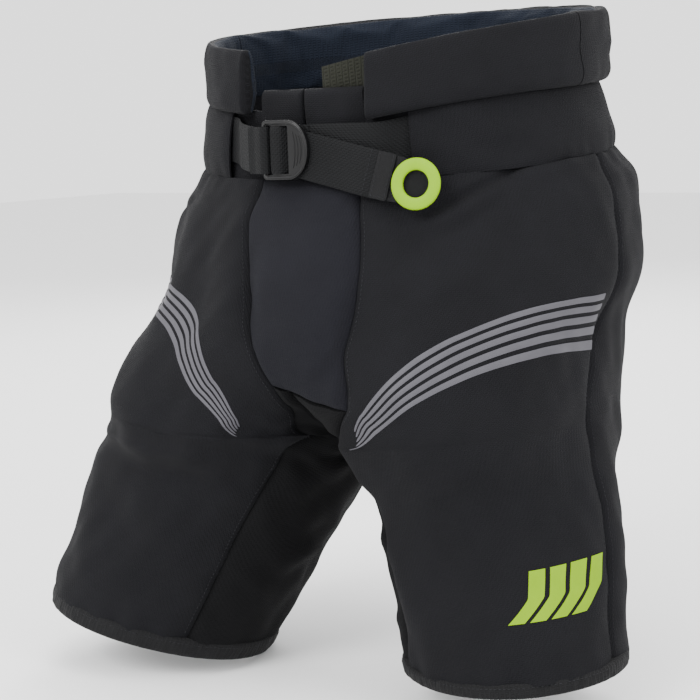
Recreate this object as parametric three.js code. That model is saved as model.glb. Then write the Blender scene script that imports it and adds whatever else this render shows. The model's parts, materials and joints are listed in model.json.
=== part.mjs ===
// Padded shorts for a field-hockey goalkeeper, standing as they do on a body in a slight stride.
// Millimetres, +Z up. The wearer faces -Y and the wearer's left is +X.
// The origin is the centre of the waist at belt height.
import * as THREE from "three";

// ---- driving sizes ----------------------------------------------------------------------------
// Cross-sections of half the garment from the waist down: how far the section's centre is out from
// the middle, its Y and Z, half width, half depth, roll, pitch, squareness and twist (degrees).
const waistSections = [
  [0, -2, 24, 175, 136, 0, 4, 2.1, 0], // top of the fly
  [0, 3, -38, 187, 141, 0, 5, 2.1, 0], // bottom of the belt tunnel
  [0, 1, -82, 208, 156, 0, 7, 2.15, 0],
  [0, -6, -134, 216, 166, 0, 5, 2.2, 0], // widest part of the hips
  [31, -22, -190, 175, 163, 3, 2, 2.2, 0],
  [95, -40, -250, 110, 146, 5, 0, 2.15, 0], // just above the crotch
  [111, -48, -282, 99, 129, 6, -1, 2.15, 4],
];
const legSections = {
  left: [
    [123, -55, -317, 91, 107, 6, 1, 2.1, 12],
    [142, -73, -395, 96, 91, 6, 1, 2.1, 25],
    [154, -85, -453, 99, 85, 5, 1, 2.1, 30], // hem
  ],
  right: [
    [142, -72, -315, 119, 115, 9, -4, 2.1, 12],
    [164, -101, -379, 110, 97, 12, -7, 2.1, 25],
    [190, -128, -457, 99, 87, 13, -8, 2.1, 30], // hem
  ],
};
const hemSection = 9;
// Fullness over the outside of the right hip, which the leg's stride pushes out: how much at each
// section, and the middle and half width of its reach as shares of the half girth.
const fullness = {
  left: [0, 0, 0, 0, 0, 0, 0, 0, 0, 0],
  right: [0, 0, 0, 0, 16, 34, 36, 0, 0, 0],
  middle: 0.45,
  reach: 0.27,
};
const waistSeam = 1.16; // section number where the belt tunnel ends and the body panels begin

const hip = { y: -45, z: -150, radius: 200, gap: 5 }; // axis the thighs swing about, and the split
const layer = {
  // depth of each layer below the garment's outer face
  shell: [0, 2.2],
  pad: [6.9, 12.6],
  lining: [15.5, 17],
  tunnel: [0, 1.2],
  belt: [2.1, 3.7],
  waistband: [7, 9],
  tab: [20, 21.4],
  binding: [-1, 7],
};
const seamGap = 0.0022; // share of the half girth left open between neighbouring panels
const collar = {
  outAt: 4, // centre's X
  halfWidth: 181,
  halfDepth: 144,
  bottom: 9,
  pitch: 4,
  frontHeight: 52,
  backHeight: 66,
  thickness: 12.6,
  rounding: 4,
  dip: { left: 22, right: 12, reach: 0.4 },
  squareness: 2.1,
};
const webbing = { width: 38, thickness: 1.6 };
const buckle = {
  at: [-11, -146.2, -35],
  halfWidth: 22.5,
  halfHeight: 24,
  depth: 4,
  sideBar: 4,
  centreBar: [-12, -4],
  lipFrom: 4,
  slotHalfHeights: [20.4, 19.8],
};
const tail = {
  start: [-9.5, -144.8, -36],
  bend: [48, -145.2, -50],
  end: [84, -138.5, -58.5],
  lean: 0.2,
};
const ring = { outer: 20.5, inner: 10.5, thickness: 4.5 };
const stripe = { count: 5, height: 0.62, lift: [-4.2, -3.6], steps: 20 };
const badge = { across: [0.35, 0.468], down: [7.62, 8.08], lean: 0.012 };

// ---- finishes ---------------------------------------------------------------------------------
const finish = (color, roughness, metalness = 0) =>
  new THREE.MeshStandardMaterial({ color, roughness, metalness });
const finishes = {
  shell: finish(0x2b2b30, 0.85),
  stretch: finish(0x36363e, 0.8),
  gusset: finish(0x1e1e20, 0.9),
  lining: finish(0x262a36, 0.9),
  foam: finish(0x5a5a5e, 0.95),
  webbing: finish(0x2e2e32, 0.7),
  binding: finish(0x202024, 0.85),
  stripe: finish(0x73737a, 0.5),
  lime: finish(0xb4d70a, 0.5),
  plastic: finish(0x151517, 0.35),
  tab: finish(0x2f3026, 0.85),
};

// ---- the garment's surface --------------------------------------------------------------------
const radians = THREE.MathUtils.degToRad;
const lerp = THREE.MathUtils.lerp;
const clamp = THREE.MathUtils.clamp;
const signedPower = (x, p) => Math.sign(x) * Math.abs(x) ** p;
const outward = { left: 1, right: -1 };

const sections = {
  left: [...waistSections, ...legSections.left].map((row, i) => [...row, fullness.left[i]]),
  right: [...waistSections, ...legSections.right].map((row, i) => [...row, fullness.right[i]]),
};

// Slope of one measure at a section: zero at a turning point, so the curve never overshoots.
function slopeAt(rows, i, k) {
  if (i === 0) return rows[1][k] - rows[0][k];
  if (i === rows.length - 1) return rows[i][k] - rows[i - 1][k];
  const before = rows[i][k] - rows[i - 1][k];
  const after = rows[i + 1][k] - rows[i][k];
  return before * after > 0 ? (2 * before * after) / (before + after) : 0;
}

// The cross-section at a section number, which may lie between two of the listed ones.
function sectionAt(side, s) {
  const rows = sections[side];
  const x = clamp(s, 0, rows.length - 1);
  const i = Math.min(Math.floor(x), rows.length - 2);
  const f = x - i;
  const f2 = f * f;
  const f3 = f2 * f;
  return rows[i].map(
    (value, k) =>
      (2 * f3 - 3 * f2 + 1) * value +
      (f3 - 2 * f2 + f) * slopeAt(rows, i, k) +
      (3 * f2 - 2 * f3) * rows[i + 1][k] +
      (f3 - f2) * slopeAt(rows, i + 1, k),
  );
}

// A point of half the garment. u runs from the centre front (0) round the outside to the centre
// back (1); below the crotch it runs right round the leg from its inner side.
function halfPoint(side, u, s, depth) {
  const [out, y, z, width, length, roll, pitch, power, twist, full] = sectionAt(side, s);
  const a = width - depth;
  const b = length - depth;
  const cosRoll = Math.cos(radians(roll));
  const start = Math.acos(clamp(out / (a * cosRoll), 0, 1) ** (power / 2));
  const turn = start + (2 * Math.PI - 2 * start) * u + radians(twist);
  const swell = full * Math.exp(-(((clamp(u, 0, 1) - fullness.middle) / fullness.reach) ** 4));
  const ex = -signedPower(Math.cos(turn), 2 / power) * (a + swell);
  const ey = -signedPower(Math.sin(turn), 2 / power) * (b + swell);
  const w = radians(twist);
  const lx = ex * Math.cos(w) + ey * Math.sin(w);
  const ly = -ex * Math.sin(w) + ey * Math.cos(w);
  return new THREE.Vector3(
    (out + lx * cosRoll) * outward[side],
    y + ly * Math.cos(radians(pitch)),
    z + lx * Math.sin(radians(roll)) + ly * Math.sin(radians(pitch)),
  );
}

// A point all round the waist: v is negative on the wearer's right, 0 at the centre front.
function aroundPoint(v, s, depth) {
  const turned = v > 1 ? v - 2 : v < -1 ? v + 2 : v;
  return halfPoint(turned < 0 ? "right" : "left", Math.abs(turned), s, depth);
}

// Section number where the split between hip and thigh meets the surface.
function splitSection(side, u, depth, radius) {
  let low = 4.6;
  let high = 8.7;
  for (let i = 0; i < 40; i++) {
    const middle = (low + high) / 2;
    const p = halfPoint(side, u, middle, depth);
    if (Math.hypot(p.y - hip.y, p.z - hip.z) < radius) low = middle;
    else high = middle;
  }
  return (low + high) / 2;
}
const aboveSplit = (side, u, depth) => splitSection(side, u, depth, hip.radius - hip.gap / 2);
const belowSplit = (side, u, depth) => splitSection(side, u, depth, hip.radius + hip.gap / 2);

// ---- solids -----------------------------------------------------------------------------------
function closedGeometry(points, faces) {
  let volume = 0;
  for (const [a, b, c] of faces) {
    volume += points[a].dot(new THREE.Vector3().crossVectors(points[b], points[c]));
  }
  const outFacing = volume < 0 ? faces.map(([a, b, c]) => [a, c, b]) : faces;
  const geometry = new THREE.BufferGeometry();
  const numbers = points.flatMap((p) => p.toArray());
  geometry.setAttribute("position", new THREE.Float32BufferAttribute(numbers, 3));
  geometry.setIndex(outFacing.flat());
  geometry.computeVertexNormals();
  return geometry;
}

// A closed solid between an outer face (0) and an inner face (1), each a grid of points.
// pointAt gets the row share, the column share and the face. A ring joins its last column to its first.
function slab(rowCount, columnCount, pointAt, isRing = false) {
  const columns = isRing ? columnCount : columnCount + 1;
  const points = [];
  for (const face of [0, 1]) {
    for (let r = 0; r <= rowCount; r++) {
      for (let c = 0; c < columns; c++) points.push(pointAt(r / rowCount, c / columnCount, face));
    }
  }
  const at = (face, r, c) => (face * (rowCount + 1) + r) * columns + (c % columns);
  const faces = [];
  const quad = (a, b, c, d) => faces.push([a, b, c], [a, c, d]);
  for (let r = 0; r < rowCount; r++) {
    for (let c = 0; c < columnCount; c++) {
      quad(at(0, r, c), at(0, r, c + 1), at(0, r + 1, c + 1), at(0, r + 1, c));
      quad(at(1, r, c), at(1, r + 1, c), at(1, r + 1, c + 1), at(1, r, c + 1));
    }
  }
  for (let c = 0; c < columnCount; c++) {
    quad(at(0, 0, c), at(1, 0, c), at(1, 0, c + 1), at(0, 0, c + 1));
    quad(at(0, rowCount, c), at(0, rowCount, c + 1), at(1, rowCount, c + 1), at(1, rowCount, c));
  }
  for (let r = 0; r < rowCount && !isRing; r++) {
    quad(at(0, r, 0), at(0, r + 1, 0), at(1, r + 1, 0), at(1, r, 0));
    const last = columnCount;
    quad(at(0, r, last), at(1, r, last), at(1, r + 1, last), at(0, r + 1, last));
  }
  return closedGeometry(points, faces);
}

const object = new THREE.Group();
function add(name, geometry, material) {
  const mesh = new THREE.Mesh(geometry, material);
  mesh.name = name;
  object.add(mesh);
  return mesh;
}

// A panel of one half: u edges are numbers or functions of s, its top and bottom are numbers or
// functions of u and depth, and depths are numbers or functions of s.
const valueOf = (rule, ...inputs) => (typeof rule === "function" ? rule(...inputs) : rule);
function panel(side, [uFrom, uTo], [sFrom, sTo], depths, [rowCount, columnCount]) {
  return slab(rowCount, columnCount, (r, c, face) => {
    const depthRule = depths[face];
    const sOf = (u) => {
      const depth = valueOf(depthRule, hemSection / 2);
      return lerp(valueOf(sFrom, u, depth), valueOf(sTo, u, depth), r);
    };
    const edgeOf = (uRule) => {
      let u = valueOf(uRule, hemSection / 2);
      for (let i = 0; i < 12; i++) u = valueOf(uRule, sOf(u));
      return u;
    };
    const u = lerp(edgeOf(uFrom), edgeOf(uTo), c);
    const s = sOf(u);
    return halfPoint(side, u, s, valueOf(depthRule, s));
  });
}

// A smooth curve through a few [position, value] pairs.
function ruleThrough(pairs) {
  const curve = new THREE.SplineCurve(pairs.map(([x, y]) => new THREE.Vector2(x, y)));
  return (x) => {
    const first = pairs[0][0];
    const last = pairs[pairs.length - 1][0];
    let low = 0;
    let high = 1;
    for (let i = 0; i < 24; i++) {
      const middle = (low + high) / 2;
      if (curve.getPoint(middle).x < clamp(x, first, last)) low = middle;
      else high = middle;
    }
    return curve.getPoint((low + high) / 2).y;
  };
}

// ---- body panels ------------------------------------------------------------------------------
// The pouch's seams as shares of the half girth against the section number.
const pouchBottom = 4.5;
const pouchSeam = {
  right: ruleThrough([[1, 0.079], [1.9, 0.076], [2.8, 0.058], [3.75, 0.042], [4.1, 0.036], [4.5, 0.024]]),
  left: ruleThrough([[1, 0.077], [1.9, 0.082], [2.9, 0.085], [3.6, 0.083], [4.1, 0.088], [4.5, 0.115]]),
};
const gussetSeam = 0.115;
const sideSeam = 0.5;
const backSeam = 0.87;

// Front edge of the hip panel: the pouch seam, then the inner-thigh seam below it.
const hipFrontEdge = (side) => (s) => {
  const blend = THREE.MathUtils.smoothstep(s, pouchBottom, 5.8);
  return lerp(pouchSeam[side](s), gussetSeam, blend) + seamGap;
};

for (const side of ["right", "left"]) {
  const above = (u, depth) => aboveSplit(side, u, depth);
  const below = (u, depth) => belowSplit(side, u, depth);
  const hemTop = 8.83;
  add(`hip_front_${side}`, panel(side, [hipFrontEdge(side), sideSeam - seamGap],
    [waistSeam, above], layer.shell, [22, 12]), finishes.shell);
  add(`seat_${side}`, panel(side, [sideSeam + seamGap, 1 - seamGap],
    [waistSeam, above], layer.shell, [16, 9]), finishes.shell);
  add(`gusset_${side}`, panel(side, [seamGap, (s) => hipFrontEdge(side)(s) - 4 * seamGap],
    [pouchBottom + 0.12, above], layer.shell, [6, 3]), finishes.gusset);
  add(`thigh_front_${side}`, panel(side, [gussetSeam + seamGap, sideSeam - seamGap],
    [below, hemTop], layer.shell, [5, 8]), finishes.shell);
  add(`thigh_back_${side}`, panel(side, [sideSeam + seamGap, backSeam - seamGap],
    [below, hemTop], layer.shell, [4, 8]), finishes.shell);
  add(`inner_thigh_${side}`, panel(side, [backSeam - 1 + seamGap, gussetSeam - seamGap],
    [below, hemTop], layer.shell, [4, 5]), finishes.gusset);
  add(`hem_binding_${side}`, slab(1, 20, (r, c, face) =>
    halfPoint(side, c, lerp(hemTop + 0.03, hemSection, r), layer.binding[face]), true), finishes.binding);
}

// The pouch: a stretch panel that stands forward of the body between its two seams.
const pouchBulge = 9;
add("front_pouch", slab(12, 8, (r, c, face) => {
  const s = lerp(waistSeam, pouchBottom, r);
  const v = lerp(seamGap - pouchSeam.right(s), pouchSeam.left(s) - seamGap, c);
  const swell = Math.sin(Math.PI * c) ** 0.7 * Math.sin(Math.PI * clamp(r, 0.02, 0.98)) ** 0.6;
  const p = aroundPoint(v, s, layer.shell[face]);
  p.y -= pouchBulge * swell;
  return p;
}), finishes.stretch);

// ---- foam pads and lining ---------------------------------------------------------------------
const liningDepth = (base) => (s) => {
  const atWaist = 1 - THREE.MathUtils.smoothstep(s, 1.1, 1.7);
  const atHem = THREE.MathUtils.smoothstep(s, 8, 8.7);
  return base - 8.5 * atWaist - 11 * atHem;
};
const liningDepths = layer.lining.map(liningDepth);
for (const side of ["right", "left"]) {
  const above = (u, depth) => aboveSplit(side, u, depth);
  add(`hip_pad_${side}`, panel(side, [0.3, 0.62], [1.95, 4.6], layer.pad, [8, 7]), finishes.foam);
  add(`thigh_pad_${side}`, panel(side, [0.16, 0.46],
    [(u, depth) => belowSplit(side, u, depth) + 0.3, 8.05], layer.pad, [3, 6]), finishes.foam);
  add(`body_lining_${side}`, panel(side, [seamGap, 1 - seamGap],
    [waistSeam + 0.02, above], liningDepths, [16, 16]), finishes.lining);
  add(`leg_lining_${side}`, slab(4, 20, (r, c, face) => {
    const depth = layer.lining[face];
    const s = lerp(belowSplit(side, c, depth), 8.8, r);
    return halfPoint(side, c, s, liningDepths[face](s));
  }, true), finishes.lining);
}
const acrossPad = (vFrom, vTo, sFrom, sTo, rowCount, columnCount) =>
  slab(rowCount, columnCount, (r, c, face) =>
    aroundPoint(lerp(vFrom, vTo, c), lerp(sFrom, sTo, r), layer.pad[face]));
add("belly_pad", acrossPad(-0.17, 0.17, 1.95, 4.2, 6, 8), finishes.foam);
add("tailbone_pad", acrossPad(0.78, 1.22, 1.95, 4.2, 6, 8), finishes.foam);

// ---- waistband, belt tunnel and collar --------------------------------------------------------
const slotAt = 0.16; // where the belt comes out of its tunnel, as a share of the half girth
const flyMiddle = -0.008;
const flyTop = 0.02;

// A point of the collar: h runs from its lower edge (0) to its rim (1).
function collarPoint(v, h, depth) {
  const turned = v > 1 ? v - 2 : v < -1 ? v + 2 : v;
  const angle = Math.PI * turned;
  const rounded = collar.rounding * Math.abs(2 * h - 1) ** 4;
  const inwards = depth < collar.thickness / 2 ? depth + rounded : depth - rounded;
  const x = signedPower(Math.sin(angle), 2 / collar.squareness) * (collar.halfWidth - inwards);
  const y = -signedPower(Math.cos(angle), 2 / collar.squareness) * (collar.halfDepth - inwards);
  const back = (1 - Math.cos(angle)) / 2;
  const height = lerp(collar.frontHeight, collar.backHeight, back);
  const reach = Math.max(0, 1 - Math.abs(turned) / collar.dip.reach);
  const dip = (turned < 0 ? collar.dip.right : collar.dip.left) * reach ** 2;
  const tilt = radians(collar.pitch);
  return new THREE.Vector3(
    collar.outAt + x,
    y * Math.cos(tilt),
    collar.bottom + y * Math.sin(tilt) + h * height - dip,
  );
}
// Section number at which the surface at v reaches the height z.
function sectionAtHeight(v, z, depth) {
  let low = 0;
  let high = 2;
  for (let i = 0; i < 30; i++) {
    const middle = (low + high) / 2;
    if (aroundPoint(v, middle, depth).z > z) low = middle;
    else high = middle;
  }
  return (low + high) / 2;
}
const underCollar = (v, depth) => sectionAtHeight(v, collarPoint(v, 0, 0).z - 1.6, depth);
const bandBottom = 1.1;
const bandFront = 0.09;
for (const [side, sign] of [["right", -1], ["left", 1]]) {
  const band = (from, to, depths, columnCount) =>
    slab(1, columnCount, (r, c, face) => {
      const v = sign * lerp(from, to, c);
      return aroundPoint(v, lerp(underCollar(v, depths[face]), bandBottom, r), depths[face]);
    });
  add(`waistband_${side}`, band(bandFront + seamGap, 1 - seamGap, layer.waistband, 14), finishes.shell);
  add(`belt_tunnel_${side}`, band(slotAt, 1 - seamGap, layer.tunnel, 14), finishes.shell);
  add(`fly_${side}`, slab(2, 3, (r, c, face) =>
    aroundPoint(flyMiddle + sign * lerp(seamGap, bandFront - sign * flyMiddle, c),
      lerp(flyTop, bandBottom, r), layer.waistband[face])), finishes.shell);
}

const collarParts = {
  right: [-0.12, -0.47],
  back: [-0.474, -1.526],
  left: [0.47, 0.095],
};
const collarLayers = {
  cover: { depths: [0, 1.3], heights: [0, 1], rows: 4, material: finishes.shell },
  foam: { depths: [3.4, 9.2], heights: [0.12, 0.88], rows: 3, material: finishes.foam },
  lining: { depths: [11.3, 12.6], heights: [0, 1], rows: 4, material: finishes.lining },
};
for (const [place, [vFrom, vTo]] of Object.entries(collarParts)) {
  const columnCount = place === "back" ? 14 : 5;
  for (const [kind, { depths, heights, rows, material }] of Object.entries(collarLayers)) {
    add(`collar_${kind}_${place}`, slab(rows, columnCount, (r, c, face) =>
      collarPoint(lerp(vFrom, vTo, c), lerp(...heights, r), depths[face])), material);
  }
}
add("closure_tab", slab(1, 5, (r, c, face) =>
  collarPoint(lerp(0.015, 0.135, c), lerp(0.5, 0.95, r), layer.tab[face])), finishes.tab);

// ---- belt -------------------------------------------------------------------------------------
// The long webbing starts at the buckle's side bar, goes round the back inside the tunnel and ends
// as the standing strap behind the buckle.
const standingDepth = -4.4;
const outsideTunnel = (v) => 1 - THREE.MathUtils.smoothstep(Math.abs(v), 0.105, slotAt - 0.01);
const beltDepth = (v) => lerp((layer.belt[0] + layer.belt[1]) / 2, standingDepth, outsideTunnel(v));
function beltHeight(v) {
  const underneath = collarPoint(v, 0, 0).z - webbing.width / 2 - 3;
  return lerp(underneath, buckle.at[2] + 1, 1 - THREE.MathUtils.smoothstep(Math.abs(v), 0.08, slotAt));
}
const beltFrom = -0.098;
const beltTurn = -1.892;
add("belt_webbing", slab(1, 52, (r, c, face) => {
  const v = beltFrom + beltTurn * c;
  const near = v < -1 ? v + 2 : v;
  const depth = beltDepth(near) + (face - 0.5) * webbing.thickness;
  const s = sectionAtHeight(near, beltHeight(near), depth);
  const middle = aroundPoint(near, s, depth);
  const up = aroundPoint(near, s - 0.3, depth).sub(aroundPoint(near, s + 0.3, depth)).normalize();
  return middle.addScaledVector(up, (0.5 - r) * webbing.width);
}), finishes.webbing);

// Buckle, in its own plane: X to the wearer's left, Y up, Z outward.
const buckleGroup = new THREE.Group();
buckleGroup.position.set(...buckle.at);
buckleGroup.rotation.x = radians(90);
object.add(buckleGroup);

function buckleOutline() {
  const { halfWidth, halfHeight } = buckle;
  const corner = 3;
  const shape = new THREE.Shape();
  shape.moveTo(2, -halfHeight);
  shape.bezierCurveTo(14, -halfHeight, halfWidth, -13, halfWidth, 0);
  shape.bezierCurveTo(halfWidth, 13, 14, halfHeight, 2, halfHeight);
  shape.absarc(-halfWidth + corner, halfHeight - corner, corner, Math.PI / 2, Math.PI, false);
  shape.absarc(-halfWidth + corner, -halfHeight + corner, corner, Math.PI, 1.5 * Math.PI, false);
  const slot = (left, right, low, high) => {
    const hole = new THREE.Path();
    hole.moveTo(left, low);
    hole.lineTo(right, low);
    hole.lineTo(right, high);
    hole.lineTo(left, high);
    hole.closePath();
    return hole;
  };
  const [first, second] = buckle.slotHalfHeights;
  shape.holes.push(slot(-halfWidth + buckle.sideBar, buckle.centreBar[0], -first, first));
  shape.holes.push(slot(buckle.centreBar[1], buckle.lipFrom, -second, second));
  return shape;
}
const flatExtrude = (shape, depth, curveSegments = 6) =>
  new THREE.ExtrudeGeometry(shape, { depth, bevelEnabled: false, curveSegments });
function addToBuckle(name, geometry, material) {
  const mesh = add(name, geometry, material);
  buckleGroup.add(mesh);
  return mesh;
}
addToBuckle("buckle_frame", flatExtrude(buckleOutline(), buckle.depth), finishes.plastic);

// A strip of webbing seen edge on, in the plane of X and the outward direction, drawn upright.
function webbingProfile(points, thickness) {
  const through = points.map(([x, z]) => new THREE.Vector3(x, z, 0));
  const curve = new THREE.CatmullRomCurve3(through, false, "centripetal");
  const steps = 4 * (points.length - 1);
  const edge = (offset) =>
    Array.from({ length: steps + 1 }, (_, i) => {
      const p = curve.getPoint(i / steps);
      const t = curve.getTangent(i / steps);
      return new THREE.Vector2(p.x - t.y * offset, p.y + t.x * offset);
    });
  return new THREE.Shape([...edge(thickness / 2), ...edge(-thickness / 2).reverse()]);
}
function uprightWebbing(points) {
  const geometry = flatExtrude(webbingProfile(points, webbing.thickness), webbing.width);
  geometry.rotateX(radians(90)); // the profile's second axis becomes the outward one
  geometry.translate(0, webbing.width / 2, 0);
  return geometry;
}
// Two plies of the fixed end, folded round the side bar.
const loopReach = -35;
addToBuckle("side_bar_loop", uprightWebbing([
  [loopReach, -1.2], [-27, -1.8], [-20.6, -2.7], [-17, -1.4], [-15.9, 2],
  [-17, 5.5], [-20.6, 6.7], [-25.6, 4.8], [-29, 2], [loopReach, 1.4],
]), finishes.webbing);
// The standing strap's turn over the centre bar.
addToBuckle("centre_bar_turn", uprightWebbing([
  [-13.6, -0.6], [-13.6, 3], [-12, 5.4], [-8, 5.7], [-4, 5.4], [-2.4, 3], [-2.4, -0.2],
]), finishes.webbing);

// The free tail: from under the buckle's lip, down towards the wearer's left hip.
const tailPoints = [tail.start, tail.bend, tail.end].map((p) => new THREE.Vector3(...p));
const [tailStart, tailBend, tailEnd] = tailPoints;
const tailCurve = new THREE.QuadraticBezierCurve3(tailStart, tailBend, tailEnd);
const tailSlope = Math.atan2(tailEnd.z - tailStart.z, tailEnd.x - tailStart.x);
// The tail's upright edge direction: its lower edge leans out as the belly does.
const tailUp = (c) =>
  new THREE.Vector3(-Math.sin(tailSlope), tail.lean * c, Math.cos(tailSlope)).normalize();
add("belt_tail", slab(1, 10, (r, c, face) => {
  const p = tailCurve.getPoint(c);
  const out = new THREE.Vector3().crossVectors(tailUp(c), tailCurve.getTangent(c)).normalize();
  p.addScaledVector(out, (face - 0.5) * webbing.thickness);
  return p.addScaledVector(tailUp(c), (0.5 - r) * webbing.width);
}), finishes.webbing);

// Pull tab and ring at the tail's end, in the plane of the end of the tail.
const endTangent = tailCurve.getTangent(1);
const endOut = new THREE.Vector3().crossVectors(endTangent, tailUp(1)).normalize();
const endUp = new THREE.Vector3().crossVectors(endOut, endTangent);
const tabGroup = new THREE.Group();
tabGroup.position.copy(tailEnd);
tabGroup.setRotationFromMatrix(new THREE.Matrix4().makeBasis(endTangent, endUp, endOut));
object.add(tabGroup);
const ringCentre = 22.5;
function tabOutline() {
  const shape = new THREE.Shape();
  shape.moveTo(1.6, -17);
  shape.lineTo(8, -17);
  shape.quadraticCurveTo(12, -13, 18, -14);
  shape.absarc(ringCentre, 0, 14.5, radians(-105), radians(105), false);
  shape.quadraticCurveTo(12, 13, 8, 17);
  shape.lineTo(1.6, 17);
  return shape;
}
const tabPlate = add("pull_tab", flatExtrude(tabOutline(), 2), finishes.webbing);
tabPlate.position.z = -1.6;
tabGroup.add(tabPlate);
const ringProfile = [
  [ring.inner, 0], [ring.outer, 0], [ring.outer + 0.6, ring.thickness / 2],
  [ring.outer - 0.8, ring.thickness], [ring.inner + 0.8, ring.thickness],
  [ring.inner - 0.4, ring.thickness / 2], [ring.inner, 0],
].map(([x, y]) => new THREE.Vector2(x, y));
const ringMesh = add("pull_ring", new THREE.LatheGeometry(ringProfile, 22), finishes.lime);
ringMesh.rotation.x = Math.PI / 2;
ringMesh.position.set(ringCentre, 0, 0.8);
tabGroup.add(ringMesh);

// ---- stripes and badge ------------------------------------------------------------------------
// Both edges of the striped band, as [share of half girth, section] from the crotch to the side.
const bandEdges = {
  left: {
    top: [[0.16, 4.95], [0.155, 4.55], [0.18, 4.15], [0.236, 3.74], [0.33, 3.38], [0.455, 3.38]],
    bottom: [[0.196, 5.5], [0.206, 4.98], [0.232, 4.62], [0.295, 4.38], [0.395, 4.28], [0.51, 4.38]],
  },
  right: {
    top: [[0.126, 5.1], [0.1, 4.6], [0.112, 4.05], [0.15, 3.4], [0.25, 3.08], [0.42, 3.1]],
    bottom: [[0.164, 5.4], [0.144, 4.85], [0.164, 4.3], [0.205, 3.88], [0.3, 3.74], [0.44, 3.86]],
  },
};
const edgeCurve = (pairs) => new THREE.SplineCurve(pairs.map(([u, s]) => new THREE.Vector2(u, s)));
for (const side of ["right", "left"]) {
  const top = edgeCurve(bandEdges[side].top);
  const bottom = edgeCurve(bandEdges[side].bottom);
  for (let k = 0; k < stripe.count; k++) {
    add(`stripe_${side}_${k + 1}`, slab(1, stripe.steps, (r, c, face) => {
      const share = (k + 0.5 + (r - 0.5) * stripe.height) / stripe.count;
      const place = top.getPoint(c).lerp(bottom.getPoint(c), share);
      return halfPoint(side, place.x, place.y, stripe.lift[face]);
    }), finishes.stripe);
  }
}
add("thigh_badge", slab(2, 5, (r, c, face) => {
  const lean = badge.lean * (0.5 - r);
  return halfPoint("left", lerp(...badge.across, c) + lean, lerp(...badge.down, r), stripe.lift[face]);
}), finishes.lime);

export default object;
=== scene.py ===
import json
import math

import bmesh
import bpy
import numpy as np
from mathutils import Matrix, Vector

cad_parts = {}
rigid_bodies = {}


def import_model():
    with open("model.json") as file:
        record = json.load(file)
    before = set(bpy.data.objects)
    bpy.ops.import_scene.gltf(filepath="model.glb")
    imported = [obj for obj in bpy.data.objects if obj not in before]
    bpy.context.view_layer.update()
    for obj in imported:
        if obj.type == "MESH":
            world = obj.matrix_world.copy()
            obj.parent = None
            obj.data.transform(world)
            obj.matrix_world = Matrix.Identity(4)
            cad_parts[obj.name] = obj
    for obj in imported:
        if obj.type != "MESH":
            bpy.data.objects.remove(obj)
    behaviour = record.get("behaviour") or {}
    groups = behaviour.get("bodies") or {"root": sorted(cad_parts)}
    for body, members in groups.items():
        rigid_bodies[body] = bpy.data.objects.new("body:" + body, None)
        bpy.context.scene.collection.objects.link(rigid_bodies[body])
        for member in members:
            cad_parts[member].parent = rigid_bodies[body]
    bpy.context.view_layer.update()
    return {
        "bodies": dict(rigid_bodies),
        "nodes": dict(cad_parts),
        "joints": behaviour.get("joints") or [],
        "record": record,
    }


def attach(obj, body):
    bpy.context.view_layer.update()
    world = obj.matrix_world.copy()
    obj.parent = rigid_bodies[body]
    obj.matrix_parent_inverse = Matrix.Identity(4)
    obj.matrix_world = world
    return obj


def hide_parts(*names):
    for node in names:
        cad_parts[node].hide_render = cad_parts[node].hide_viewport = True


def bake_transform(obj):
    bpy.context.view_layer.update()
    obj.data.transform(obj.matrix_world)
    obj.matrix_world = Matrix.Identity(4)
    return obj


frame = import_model()
print("frame loaded,", len(frame["nodes"]), "solids")

cameraSetup = {
    "turn": 36, "height": 8, "distance": 1.5, "lens": 87.2, "lean": -2, "aim": (-0.0405, -0.0294, -0.215)
}


def makeCamera(setup):
    turn, height, lean = (math.radians(setup[k]) for k in ("turn", "height", "lean"))
    back = Vector((math.sin(turn) * math.cos(height), -math.cos(turn) * math.cos(height), math.sin(height)))
    right = Vector((math.cos(turn), math.sin(turn), 0))
    up = back.cross(right)
    tilted = right * math.cos(lean) + up * math.sin(lean)
    data = bpy.data.cameras.new("camera")
    data.lens, data.sensor_width = setup["lens"], 36
    camera = bpy.data.objects.new("camera", data)
    bpy.context.scene.collection.objects.link(camera)
    place = Matrix((tilted, back.cross(tilted), back)).transposed().to_4x4()
    place.translation = Vector(setup["aim"]) + back * setup["distance"]
    camera.matrix_world = place
    bpy.context.scene.camera = camera


makeCamera(cameraSetup)

studio = {
    "floor": {"low": -0.486, "size": 14, "color": (0.84, 0.84, 0.84)},
    "lamps": [
        # name, position, aim, width, height, watts
        ("key", (-0.55, -2.3, 1.5), (0, 0, -0.2), 1.5, 1.2, 75),
        ("side", (2.4, -0.6, 0.9), (0, 0, -0.2), 1.0, 1.8, 42),
        ("back", (-1.4, 2.1, 1.5), (0, 0, -0.1), 1.4, 1.2, 60),
        ("top", (0.1, -0.2, 2.4), (0, 0, 0), 1.6, 1.6, 34),
    ],
    "sky": (1.0, 1.0, 1.0),
    "skyStrength": 2.0,
}


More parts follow.
